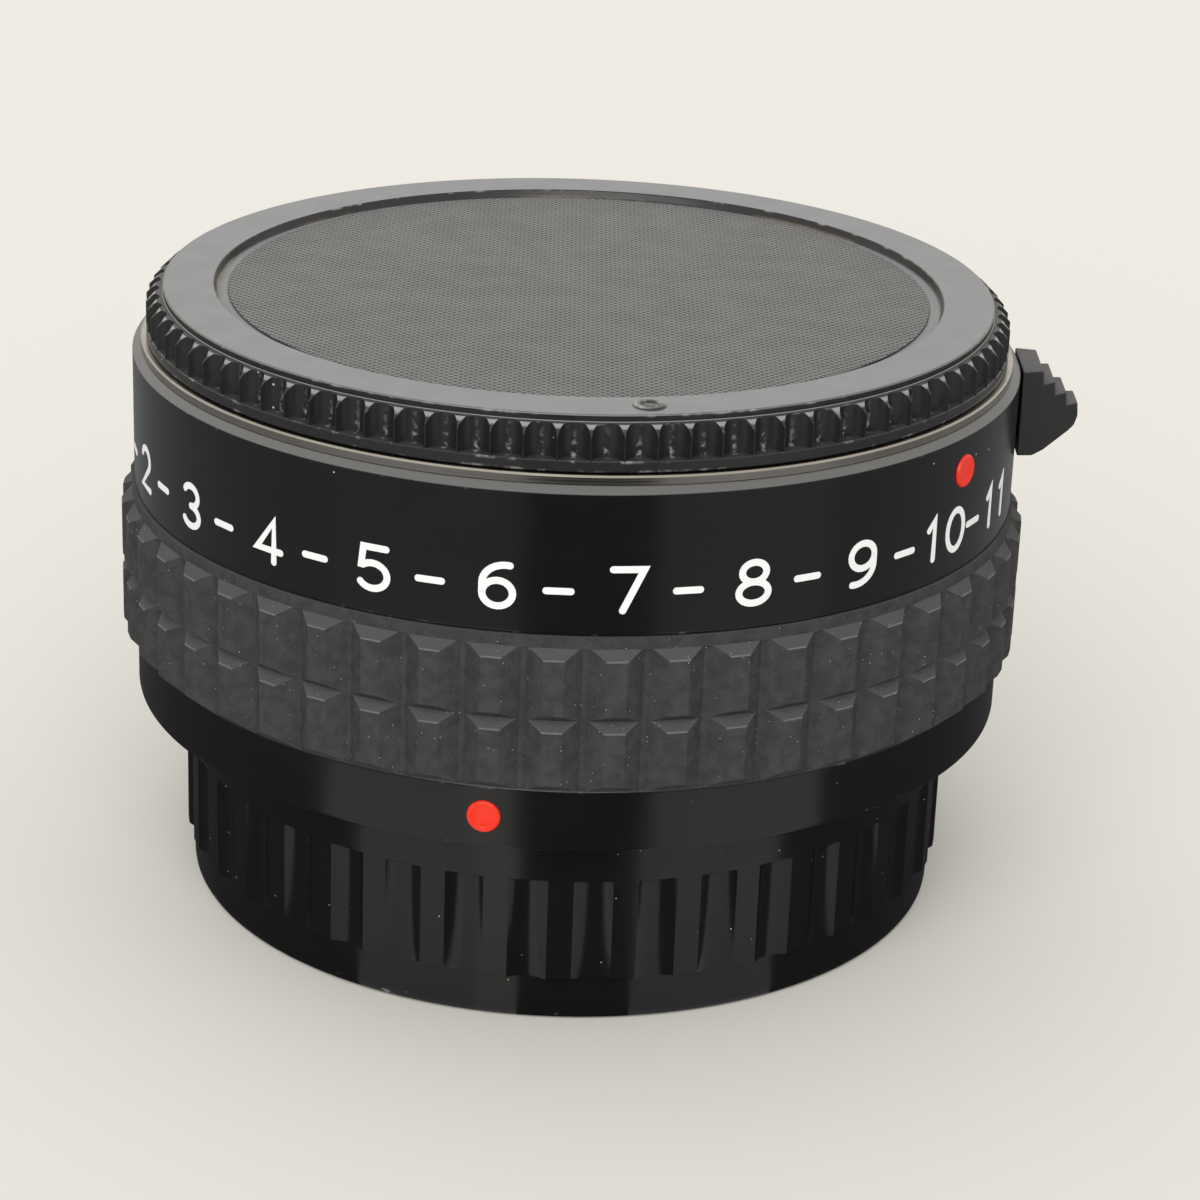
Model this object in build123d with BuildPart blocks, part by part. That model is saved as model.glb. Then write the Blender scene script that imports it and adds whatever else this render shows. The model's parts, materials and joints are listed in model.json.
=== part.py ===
"""Camera teleconverter with a fluted cap on each side, in millimetres.

+Z runs from the camera side to the lens side and +X points at the release lever. The origin is
the centre of the face that the rear cap stands on. Angles are in degrees, from +X towards +Y,
so they grow against the clock for someone who looks at the lens side.
"""

import os
from math import cos, pi, radians, sin, sqrt

from build123d import *

os.makedirs("parts", exist_ok=True)

# Clearances that all pieces share
overrun = 0.5
seat_gap = 0.05
fit_gap = 0.05
running_gap = 0.08
lift_gap = 0.1

# Heights of the stack, from the rear cap up to the front cap
rear_cap_height = 14.4
rear_flange_proud = 0.3
lower_barrel_height = 4.55
grip_height = 11.05
upper_barrel_height = 10.15
mount_lip_height = 0.65
front_cap_height = 3.55

# Bayonet: the lugs of a lens turn behind the tabs of a throat
tab_inner_radius = 22.3
tab_reach = 1.75
tab_thickness = 1.3
lug_side_gap = 0.2
lug_root_gap = 0.3
lug_thickness = 1.3
bayonet_depth = 5.2
mount_turn = 65.5
lug_angle_slack = 3.0
key_lug_width = 54.0
plain_lug_width = 50.0
key_gap_angle = 81.0
front_dot_angle = -33.5

# Rings that carry the iris motions through the converter
aperture_rest_angle = 150.0
aperture_travel = 45.0
diaphragm_rest_angle = 300.0
diaphragm_travel = 18.0

# Widths of the faces and walls around the throat
mount_face_width = 7.95
rear_cap_face_width = 4.35
front_cap_inset = 1.0
lower_barrel_inset = 0.1
barrel_wall = 1.5
grip_swell = 0.95

# Lock
lock_pin_radius = 0.8
lock_pin_setback = 2.95
lock_pin_reach = 1.5
lock_pin_chamfer = 0.25
release_travel = 1.6

# Radii and levels worked out from the throat and the stack
throat_radius = tab_inner_radius + tab_reach
barrel_radius = throat_radius + mount_face_width
rear_cap_radius = throat_radius + rear_cap_face_width
front_cap_radius = barrel_radius - front_cap_inset
lock_pin_circle = throat_radius + lock_pin_setback
lug_radius = throat_radius - lug_side_gap
lug_root_radius = tab_inner_radius - lug_root_gap
rear_face = rear_cap_height + seat_gap
lower_barrel_base = rear_face + rear_flange_proud
grip_base = lower_barrel_base + lower_barrel_height
upper_barrel_base = grip_base + grip_height
mount_lip_base = upper_barrel_base + upper_barrel_height
front_face = mount_lip_base + mount_lip_height
front_cap_base = front_face + seat_gap
front_cap_top = front_cap_base + front_cap_height

# Lug and gap angles: the first lug is wider, so a lens goes in one way only
lug_widths = (key_lug_width, plain_lug_width, plain_lug_width)
gap_angles = [key_gap_angle + 360 * i / len(lug_widths) for i in range(len(lug_widths))]
gap_widths = [width + lug_angle_slack for width in lug_widths]
locked_lug_angles = [angle - mount_turn for angle in gap_angles]
rear_dot_angle = front_dot_angle - mount_turn


def polar(radius, angle):
    """The point at a radius and an angle."""
    return (radius * cos(radians(angle)), radius * sin(radians(angle)))


def ring_sector(inner_radius, outer_radius, centre, width):
    """A flat piece of a ring, its middle and its width given as angles."""
    with BuildSketch() as sector:
        with BuildLine():
            outside = CenterArc((0, 0), outer_radius, centre - width / 2, width)
            inside = CenterArc((0, 0), inner_radius, centre - width / 2, width)
            Line(outside @ 0, inside @ 0)
            Line(outside @ 1, inside @ 1)
        make_face()
    return sector.sketch


def round_slot(inner_radius, outer_radius, start, travel, margin):
    """A curved slot for a lever that moves through travel, margin wider in angle at each end."""
    middle = start + travel / 2
    return ring_sector(inner_radius, outer_radius, middle, travel + 2 * margin)


def half_section(points):
    """A closed outline of radius and height points, ready to revolve around the axis."""
    with BuildSketch(Plane.XZ) as section:
        with BuildLine():
            Polyline(*points, close=True)
        make_face()
    return section.sketch


def bayonet_tabs(outer_radius):
    """The tabs that stand between the gaps of a throat."""
    with BuildSketch() as tabs:
        count = len(gap_angles)
        for i in range(count):
            start = gap_angles[i] + gap_widths[i] / 2
            end = gap_angles[(i + 1) % count] - gap_widths[(i + 1) % count] / 2
            width = (end - start) % 360
            add(ring_sector(tab_inner_radius, outer_radius, start + width / 2, width))
    return tabs.sketch


def flat_screw(head_radius, shank_radius, length, cross_depth):
    """A countersunk screw along Z, its head's face at zero and its shank below."""
    head_height = head_radius - shank_radius
    with BuildPart() as screw:
        add(
            half_section(
                (
                    (0, 0),
                    (head_radius, 0),
                    (shank_radius, -head_height),
                    (shank_radius, -length),
                    (0, -length),
                )
            )
        )
        revolve(axis=Axis.Z)
        with BuildSketch():
            Rectangle(head_radius, shank_radius / 2)
            Rectangle(shank_radius / 2, head_radius)
        extrude(amount=-cross_depth, mode=Mode.SUBTRACT)
    return screw.part


def flat_screw_cut(head_radius, shank_radius, length):
    """The hole for a countersunk screw, open above zero."""
    head_height = head_radius - shank_radius
    with BuildPart() as cut:
        add(
            half_section(
                (
                    (0, overrun),
                    (head_radius, overrun),
                    (head_radius, 0),
                    (shank_radius, -head_height),
                    (shank_radius, -length),
                    (0, -length),
                )
            )
        )
        revolve(axis=Axis.Z)
    return cut.part


# Screws of the two mounts: one post of the chassis takes a screw at each end
mount_screw_count = 5
mount_screw_start = 34.0
mount_screw_setback = 2.25
mount_screw_head_radius = 1.35
mount_screw_radius = 0.7
mount_screw_length = 4.4
screw_cross_depth = 0.5
screw_sink = 0.05
mount_screw_circle = throat_radius + mount_screw_setback
mount_screw = flat_screw(
    mount_screw_head_radius, mount_screw_radius, mount_screw_length, screw_cross_depth
)
mount_screw_cut = flat_screw_cut(
    mount_screw_head_radius + fit_gap, mount_screw_radius + fit_gap, mount_screw_length + overrun
)
mount_screw_from_below = mirror(mount_screw, about=Plane.XY)
mount_screw_cut_from_below = mirror(mount_screw_cut, about=Plane.XY)


def mount_screw_places():
    """The polar places of the screws, on the chassis posts."""
    return PolarLocations(mount_screw_circle, mount_screw_count, mount_screw_start)


# Rear cap
rear_cap_base_inset = 0.5
rear_cap_base_band = 3.3
rear_cap_floor = 1.8
rear_cap_wall = 2.8
rear_cap_edge = 0.6
rear_cap_rim_edge = 0.25
rear_flute_count = 40
rear_flute_height = 7.5
rear_flute_radius = 2.2
rear_flute_start = 86.1
rear_chamber_depth = 3.4
rear_chamber_slope = 1.4
stop_peg_radius = 0.6
stop_peg_slack = 0.3
rear_cap_base_radius = rear_cap_radius - rear_cap_base_inset
rear_cap_bore_radius = rear_cap_radius - rear_cap_wall
rear_chamber_base = rear_cap_height - rear_chamber_depth
rear_tab_base = rear_cap_height - tab_thickness

# The stop stands where the leading end of the last lug comes to rest
stop_peg_half_angle = stop_peg_radius / lug_radius * 180 / pi
stop_angle = locked_lug_angles[2] - plain_lug_width / 2 - stop_peg_slack - stop_peg_half_angle

with BuildPart() as rear_cap:
    add(
        half_section(
            (
                (0, 0),
                (rear_cap_base_radius, 0),
                (rear_cap_base_radius, rear_cap_base_band),
                (rear_cap_radius, rear_cap_base_band),
                (rear_cap_radius, rear_cap_height),
                (throat_radius, rear_cap_height),
                (throat_radius, rear_chamber_base),
                (rear_cap_bore_radius, rear_chamber_base - rear_chamber_slope),
                (rear_cap_bore_radius, rear_cap_floor),
                (0, rear_cap_floor),
            )
        )
    )
    revolve(axis=Axis.Z)
    rings = rear_cap.edges().filter_by(GeomType.CIRCLE)
    fillet(rings.group_by(Axis.Z)[0], radius=rear_cap_edge)
    rings = rear_cap.edges().filter_by(GeomType.CIRCLE)
    chamfer(rings.group_by(Axis.Z)[-1].sort_by(SortBy.RADIUS)[-1], length=rear_cap_rim_edge)
    with BuildSketch(Plane.XY.offset(rear_cap_base_band)):
        flute_circle = rear_cap_base_radius + rear_flute_radius
        with PolarLocations(flute_circle, rear_flute_count, rear_flute_start):
            Circle(rear_flute_radius)
    extrude(amount=rear_flute_height, mode=Mode.SUBTRACT)
    with BuildSketch(Plane.XY.offset(rear_tab_base)):
        add(bayonet_tabs(throat_radius + overrun))
    extrude(amount=tab_thickness)
    with BuildSketch(Plane.XY.offset(rear_chamber_base)):
        with Locations(polar(throat_radius, stop_angle)):
            Circle(stop_peg_radius)
    extrude(amount=rear_chamber_depth)

rear_cap.part.label = "rear_cap"
export_step(rear_cap.part, "parts/rear_cap.step")

# Rear mount ring: flange, bayonet tube and lugs on the camera side
rear_flange_inset = 0.15
rear_flange_step = 0.5
rear_seat_inset = 2.4
rear_flange_thickness = 1.5
bayonet_wall = 0.8
lug_drop = 1.4
lock_hole_gap = 0.15
lock_hole_depth = 1.2
rear_flange_radius = rear_cap_radius - rear_flange_inset
rear_seat_radius = barrel_radius - rear_seat_inset
bayonet_bore_radius = lug_root_radius - bayonet_wall
rear_seat = rear_face + rear_flange_thickness
lug_top = rear_face - lug_drop

# Contacts: a row of pins on the lens side joined to a row of pads on the camera side
contact_count = 6
contact_angle = 80.0
contact_setback = 1.7
contact_window_depth = 1.9
contact_window_width = 40.0
contact_end_margin = 2.5
contact_shoulder = 0.4
contact_shoulder_angle = 1.0
contact_pitch = (contact_window_width - 2 * contact_end_margin) / (contact_count - 1)
contact_circle = throat_radius + contact_setback
contact_window_inner_radius = contact_circle - contact_window_depth / 2
contact_window_outer_radius = contact_circle + contact_window_depth / 2
contact_angles = [
    contact_angle + contact_pitch * (i - (contact_count - 1) / 2) for i in range(contact_count)
]

with BuildPart() as rear_mount_ring:
    add(
        half_section(
            (
                (bayonet_bore_radius, rear_face - bayonet_depth),
                (lug_root_radius, rear_face - bayonet_depth),
                (lug_root_radius, rear_face),
                (rear_flange_radius, rear_face),
                (rear_flange_radius, rear_face + rear_flange_step),
                (rear_seat_radius, rear_face + rear_flange_step),
                (rear_seat_radius, rear_seat),
                (bayonet_bore_radius, rear_seat),
            )
        )
    )
    revolve(axis=Axis.Z)
    with BuildSketch(Plane.XY.offset(lug_top)):
        for angle, width in zip(locked_lug_angles, lug_widths):
            add(ring_sector(lug_root_radius - fit_gap, lug_radius, angle, width))
    extrude(amount=-lug_thickness)
    with BuildSketch(Plane.XY.offset(rear_face)):
        add(
            ring_sector(
                contact_window_inner_radius,
                contact_window_outer_radius,
                contact_angle,
                contact_window_width,
            )
        )
    extrude(amount=rear_flange_thickness, mode=Mode.SUBTRACT)
    with Locations((0, 0, rear_face + screw_sink)):
        with mount_screw_places():
            add(mount_screw_cut_from_below, mode=Mode.SUBTRACT)
    with BuildSketch(Plane.XY.offset(rear_face)):
        with Locations((lock_pin_circle, 0)):
            Circle(lock_pin_radius + lock_hole_gap)
    extrude(amount=lock_hole_depth, mode=Mode.SUBTRACT)

rear_mount_ring.part.label = "rear_mount_ring"
export_step(rear_mount_ring.part, "parts/rear_mount_ring.step")

with BuildPart() as rear_mount_screws:
    with Locations((0, 0, rear_face + screw_sink)):
        with mount_screw_places():
            add(mount_screw_from_below)

rear_mount_screws.part.label = "rear_mount_screws"
export_step(rear_mount_screws.part, "parts/rear_mount_screws.step")

# Lower barrel: held between the rear mount ring and the end of the chassis tube
skirt_gap = 0.2
lip_width = 1.0
lip_height = 0.95
lower_barrel_edge = 0.25
lower_barrel_radius = barrel_radius - lower_barrel_inset
tube_radius = barrel_radius - barrel_wall - fit_gap
barrel_bore_radius = barrel_radius - barrel_wall
skirt_radius = rear_seat_radius + skirt_gap
lip_inner_radius = rear_seat_radius - lip_width
lip_base = rear_seat + seat_gap
lip_top = lip_base + lip_height
dot_radius = 1.15
dot_pocket_depth = 0.5
dot_level_share = 0.5
dot_gap = 0.03
rear_dot_level = lower_barrel_base + lower_barrel_height * dot_level_share


def dot_plane(radius, angle, level):
    """A plane on the barrel's wall that faces outwards at an angle."""
    return Plane(origin=(0, 0, level), x_dir=(0, 0, 1), z_dir=(*polar(1, angle), 0)).offset(radius)


with BuildPart() as lower_barrel:
    add(
        half_section(
            (
                (skirt_radius, lower_barrel_base),
                (lower_barrel_radius, lower_barrel_base),
                (lower_barrel_radius, grip_base),
                (barrel_bore_radius, grip_base),
                (barrel_bore_radius, lip_top),
                (lip_inner_radius, lip_top),
                (lip_inner_radius, lip_base),
                (skirt_radius, lip_base),
            )
        )
    )
    revolve(axis=Axis.Z)
    rims = lower_barrel.edges().filter_by(GeomType.CIRCLE)
    rims = rims.filter_by(lambda rim: rim.radius == lower_barrel_radius)
    chamfer(rims, length=lower_barrel_edge)
    with BuildSketch(dot_plane(lower_barrel_radius - dot_pocket_depth, rear_dot_angle, rear_dot_level)):
        Circle(dot_radius + dot_gap)
    extrude(amount=dot_pocket_depth + overrun, mode=Mode.SUBTRACT)

lower_barrel.part.label = "lower_barrel"
export_step(lower_barrel.part, "parts/lower_barrel.step")

# Index dots: domed studs of paint in round pockets
dot_dome = 0.2
dot_rise = 0.22


def index_dot(wall_radius, angle, level):
    """A domed dot that fills its pocket in a barrel wall."""
    with BuildPart() as dot:
        with BuildSketch(dot_plane(wall_radius - dot_pocket_depth + seat_gap, angle, level)):
            Circle(dot_radius)
        extrude(amount=dot_pocket_depth + dot_rise)
        outer_rim = dot.edges().filter_by(GeomType.CIRCLE)
        outer_rim = outer_rim.sort_by(Axis((0, 0, 0), (*polar(1, angle), 0)))[-1]
        fillet(outer_rim, radius=dot_dome)
    return dot.part


rear_index_dot = index_dot(lower_barrel_radius, rear_dot_angle, rear_dot_level)
rear_index_dot.label = "rear_index_dot"
export_step(rear_index_dot, "parts/rear_index_dot.step")

# Rubber grip: two rows of ribs with hipped ends, between two plain borders
grip_rib_count = 50
grip_rib_start = -91.1
grip_depth = 0.9
grip_border_inset = 0.65
grip_lower_border = 0.75
grip_upper_border = 0.25
grip_hip = 0.9
grip_seam = 0.05
grip_radius = barrel_radius + grip_swell
grip_border_radius = grip_radius - grip_border_inset
grip_valley_radius = grip_radius - grip_depth
grip_bottom = grip_base + grip_seam
grip_top = upper_barrel_base - grip_seam
rows_bottom = grip_bottom + grip_lower_border
rows_top = grip_top - grip_upper_border
row_height = (rows_top - rows_bottom) / 2
rib_width = 2 * grip_valley_radius * sin(pi / grip_rib_count)
rib_flat = grip_valley_radius * cos(pi / grip_rib_count)
rib_top_share = 1 / 3
hip_overlap = grip_hip * (grip_depth / grip_border_inset - 1)

# One rib of each row: a roof with a flat ridge and sloping ends, over one flat of the sleeve
with BuildPart() as grip_rib:
    for level in (rows_bottom + row_height / 2, rows_top - row_height / 2):
        with BuildSketch(Plane.YZ.offset(rib_flat - fit_gap)):
            with Locations((0, level)):
                Rectangle(rib_width, row_height + 2 * hip_overlap)
        with BuildSketch(Plane.YZ.offset(grip_radius)):
            with Locations((0, level)):
                Rectangle(rib_width * rib_top_share, row_height - 2 * grip_hip)
        loft()

with BuildPart() as rubber_grip:
    rib_turn = grip_rib_start + 180 / grip_rib_count
    for radius, base, top in (
        (grip_valley_radius, rows_bottom, rows_top),
        (grip_border_radius, grip_bottom, rows_bottom),
        (grip_border_radius, rows_top, grip_top),
    ):
        with BuildSketch(Plane.XY.offset(base)):
            RegularPolygon(radius, grip_rib_count, rotation=rib_turn)
        extrude(amount=top - base)
    with PolarLocations(0, grip_rib_count, grip_rib_start):
        add(grip_rib.part)
    with BuildSketch(Plane.XY.offset(grip_bottom)):
        Circle(barrel_bore_radius)
    extrude(amount=grip_top - grip_bottom, mode=Mode.SUBTRACT)
    for base, top in ((grip_bottom - overrun, grip_bottom), (grip_top, grip_top + overrun)):
        with BuildSketch(Plane.XY.offset(base)):
            Circle(grip_radius + overrun)
        extrude(amount=top - base, mode=Mode.SUBTRACT)

rubber_grip.part.label = "rubber_grip"
export_step(rubber_grip.part, "parts/rubber_grip.step")

# Upper barrel: bevelled under the front mount ring, slotted for the release lever
bevel_width = 0.55
bevel_height = 0.4
upper_barrel_edge = 0.15
lever_tongue_width = 2.8
lever_tongue_drop = 1.9
lever_tongue_height = 2.7
lever_slot_gap = 0.15
lever_tongue_top = mount_lip_base - lever_tongue_drop
lever_slot_top = lever_tongue_top + lever_slot_gap
lever_slot_bottom = lever_tongue_top - lever_tongue_height - release_travel - lever_slot_gap
lever_slot_width = lever_tongue_width + 2 * lever_slot_gap
front_dot_level_share = 0.72
front_dot_level = upper_barrel_base + upper_barrel_height * front_dot_level_share

with BuildPart() as upper_barrel:
    add(
        half_section(
            (
                (barrel_bore_radius, upper_barrel_base),
                (barrel_radius, upper_barrel_base),
                (barrel_radius, mount_lip_base - bevel_height),
                (barrel_radius - bevel_width, mount_lip_base),
                (barrel_bore_radius, mount_lip_base),
            )
        )
    )
    revolve(axis=Axis.Z)
    rims = upper_barrel.edges().filter_by(GeomType.CIRCLE)
    chamfer(rims.group_by(Axis.Z)[0].sort_by(SortBy.RADIUS)[-1], length=upper_barrel_edge)
    with BuildSketch(dot_plane(barrel_radius - dot_pocket_depth, front_dot_angle, front_dot_level)):
        Circle(dot_radius + dot_gap)
    extrude(amount=dot_pocket_depth + overrun, mode=Mode.SUBTRACT)
    with BuildSketch(Plane.YZ.offset(barrel_bore_radius - overrun)):
        with Locations((0, (lever_slot_top + lever_slot_bottom) / 2)):
            Rectangle(lever_slot_width, lever_slot_top - lever_slot_bottom)
    extrude(amount=barrel_wall + 2 * overrun, mode=Mode.SUBTRACT)

upper_barrel.part.label = "upper_barrel"
export_step(upper_barrel.part, "parts/upper_barrel.step")

front_index_dot = index_dot(barrel_radius, front_dot_angle, front_dot_level)
front_index_dot.label = "front_index_dot"
export_step(front_index_dot, "parts/front_index_dot.step")

# Front mount ring: throat with three tabs, a lip over the upper barrel, holes for pin and screws
mount_lip_inset = 0.6
mount_ring_thickness = 1.5
mount_lip_edge = 0.12
pin_hole_gap = 0.06
mount_ring_base = front_face - mount_ring_thickness
mount_lip_radius = barrel_radius - mount_lip_inset
mount_body_radius = barrel_bore_radius - fit_gap

with BuildPart() as front_mount_ring:
    add(
        half_section(
            (
                (throat_radius, mount_ring_base),
                (mount_body_radius, mount_ring_base),
                (mount_body_radius, mount_lip_base + seat_gap),
                (mount_lip_radius, mount_lip_base + seat_gap),
                (mount_lip_radius, front_face),
                (throat_radius, front_face),
            )
        )
    )
    revolve(axis=Axis.Z)
    rims = front_mount_ring.edges().filter_by(GeomType.CIRCLE)
    chamfer(rims.group_by(Axis.Z)[-1].sort_by(SortBy.RADIUS)[-1], length=mount_lip_edge)
    with BuildSketch(Plane.XY.offset(front_face)):
        add(bayonet_tabs(throat_radius + overrun))
    extrude(amount=-tab_thickness)
    with BuildSketch(Plane.XY.offset(front_face)):
        add(
            ring_sector(
                contact_window_inner_radius,
                contact_window_outer_radius,
                contact_angle,
                contact_window_width,
            )
        )
        with Locations((lock_pin_circle, 0)):
            Circle(lock_pin_radius + pin_hole_gap)
    extrude(amount=-mount_ring_thickness, mode=Mode.SUBTRACT)
    with Locations((0, 0, front_face - screw_sink)):
        with mount_screw_places():
            add(mount_screw_cut, mode=Mode.SUBTRACT)

front_mount_ring.part.label = "front_mount_ring"
export_step(front_mount_ring.part, "parts/front_mount_ring.step")

with BuildPart() as front_mount_screws:
    with Locations((0, 0, front_face - screw_sink)):
        with mount_screw_places():
            add(mount_screw)

front_mount_screws.part.label = "front_mount_screws"
export_step(front_mount_screws.part, "parts/front_mount_screws.step")

# Bayonet spring plate: three fingers under the tabs pull a lens's lugs towards the camera side
spring_plate_thickness = 0.25
spring_plate_rim = 1.7
spring_finger_inset = 0.5
chassis_throat_gap = 0.25
spring_finger_width = 38.0
chassis_throat_radius = throat_radius + chassis_throat_gap
spring_plate_inner_radius = chassis_throat_radius + lift_gap
spring_plate_outer_radius = mount_screw_circle + spring_plate_rim
spring_finger_inner_radius = tab_inner_radius + spring_finger_inset
spring_plate_top = mount_ring_base - seat_gap
spring_plate_base = spring_plate_top - spring_plate_thickness
tab_angles = [angle - 180 / len(gap_angles) for angle in gap_angles]

with BuildPart() as bayonet_spring_plate:
    with BuildSketch(Plane.XY.offset(spring_plate_base)):
        Circle(spring_plate_outer_radius)
        Circle(spring_plate_inner_radius, mode=Mode.SUBTRACT)
        for angle in tab_angles:
            add(
                ring_sector(
                    spring_finger_inner_radius,
                    spring_plate_inner_radius + fit_gap,
                    angle,
                    spring_finger_width,
                )
            )
        add(
            ring_sector(
                spring_plate_inner_radius - overrun,
                contact_window_outer_radius + contact_shoulder + lift_gap,
                contact_angle,
                contact_window_width + 2 * contact_shoulder_angle,
            ),
            mode=Mode.SUBTRACT,
        )
        with mount_screw_places():
            Circle(mount_screw_radius + lift_gap, mode=Mode.SUBTRACT)
        with Locations((lock_pin_circle, 0)):
            Circle(lock_pin_radius + lift_gap, mode=Mode.SUBTRACT)
    extrude(amount=spring_plate_thickness)

bayonet_spring_plate.part.label = "bayonet_spring_plate"
export_step(bayonet_spring_plate.part, "parts/bayonet_spring_plate.step")

# Chassis: an outer tube and an inner wall joined by a top flange, screw posts and the ring web
tube_wall = 1.75
chassis_flange_thickness = 1.6
inner_wall = 0.8
ring_bore_inset = 0.6
web_depth = 8.15
web_thickness = 1.4
ring_height = 2.2
keeper_thickness = 1.4
post_radius = 1.75
post_rib_width = 1.6
lens_barrel_inset = 3.75
lens_barrel_radius = tab_inner_radius - lens_barrel_inset
inner_wall_radius = chassis_throat_radius + inner_wall
ring_bore_radius = chassis_throat_radius - ring_bore_inset
tube_base = lip_top + seat_gap
tube_inner_radius = tube_radius - tube_wall
chassis_top = mount_ring_base - seat_gap
flange_base = chassis_top - chassis_flange_thickness
web_top = front_face - web_depth
web_base = web_top - web_thickness
keeper_top = web_base - ring_height - 2 * running_gap
keeper_base = keeper_top - keeper_thickness
inner_wall_base = keeper_top + seat_gap

# Levers that stand on the two rings
inner_lever_depth = 1.2
outer_lever_depth = 1.2
inner_lever_wall = 1.15
outer_lever_wall = 0.65
diaphragm_ring_rim = 0.3
ring_to_ring_gap = 0.15
lever_gap = 0.15
lever_end_margin = 1.0
diaphragm_lever_width = 5.6
diaphragm_front_offset = 9.0
aperture_tab_width = 7.6
aperture_rear_offset = -10.0
diaphragm_lever_drop = 4.15
aperture_tab_drop = 3.95
rear_lever_reach = 7.6
aperture_rear_reach = 7.1
inner_lever_radius = lens_barrel_radius + inner_lever_wall
diaphragm_ring_radius = inner_lever_radius + inner_lever_depth + diaphragm_ring_rim
outer_lever_radius = diaphragm_ring_radius + ring_to_ring_gap + outer_lever_wall
aperture_rear_angle = aperture_rest_angle + aperture_rear_offset
diaphragm_front_angle = diaphragm_rest_angle + diaphragm_front_offset
diaphragm_margin = diaphragm_lever_width / 2 + lever_end_margin
aperture_margin = aperture_tab_width / 2 + lever_end_margin


def inner_lever_slot(start, travel, margin):
    """The slot that a lever on the inner circle moves in."""
    inside = inner_lever_radius - lever_gap
    outside = inner_lever_radius + inner_lever_depth + lever_gap
    return round_slot(inside, outside, start, travel, margin)


def outer_lever_slot(start, travel, margin):
    """The slot that a lever on the outer circle moves in."""
    inside = outer_lever_radius - lever_gap
    outside = outer_lever_radius + outer_lever_depth + lever_gap
    return round_slot(inside, outside, start, travel, margin)


# Keeper ears and their screws
keeper_ear_radius = 1.5
keeper_ear_reach = 0.8
keeper_ear_angles = (18.0, 142.0, 286.0)
keeper_boss_height = 4.0
keeper_screw_head_radius = 1.1
keeper_screw_radius = 0.55
keeper_screw_length = 4.0
keeper_radius = (ring_bore_radius + inner_wall_radius) / 2
keeper_ear_circle = inner_wall_radius + keeper_ear_reach
keeper_places = [polar(keeper_ear_circle, angle) for angle in keeper_ear_angles]
keeper_ear_width = 2 * keeper_ear_radius / keeper_ear_circle * 180 / pi
keeper_screw = mirror(
    flat_screw(
        keeper_screw_head_radius, keeper_screw_radius, keeper_screw_length, screw_cross_depth
    ),
    about=Plane.XY,
)
keeper_screw_cut = mirror(
    flat_screw_cut(
        keeper_screw_head_radius + fit_gap,
        keeper_screw_radius + fit_gap,
        keeper_screw_length + seat_gap,
    ),
    about=Plane.XY,
)

# Release slider and its guide in the chassis
slider_wall = 0.7
slider_inset = 0.4
slider_width = 7.6
slider_height = 5.4
slider_drop = 0.7
guide_wall = 1.1
guide_floor = 1.2
guide_base_drop = 11.0
slider_inner_x = lock_pin_circle - lock_pin_radius - slider_wall
slider_outer_x = barrel_bore_radius - slider_inset
slider_top = chassis_top - slider_drop
slider_base = slider_top - slider_height
guide_base = flange_base - guide_base_drop
guide_floor_top = guide_base + guide_floor
guide_inner_x = slider_inner_x - lift_gap
guide_width = slider_width + 2 * lift_gap

# Pockets of the two contact blocks
contact_block_height = 3.4
contact_block_inset = 0.15
rear_block_height = 2.0
contact_block_inner_radius = chassis_throat_radius + contact_block_inset
contact_block_outer_radius = contact_window_outer_radius + contact_shoulder
contact_block_width = contact_window_width + 2 * contact_shoulder_angle
contact_block_top = chassis_top
contact_block_base = contact_block_top - contact_block_height
rear_block_inner_radius = contact_window_inner_radius - contact_shoulder
rear_block_top = rear_seat + seat_gap + rear_block_height

# Stop pin for the lugs of a lens
stop_pin_length = 4.0
stop_pin_bite = 0.85
stop_pin_drop = 1.0
stop_pin_inner_radius = lug_radius - stop_pin_bite
stop_pin_level = chassis_top - stop_pin_drop


def radial_plane(radius, angle, level):
    """A plane across a radius, facing outwards, its local y upwards."""
    x_dir = (*polar(1, angle + 90), 0)
    return Plane(origin=(0, 0, level), x_dir=x_dir, z_dir=(*polar(1, angle), 0)).offset(radius)


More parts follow.
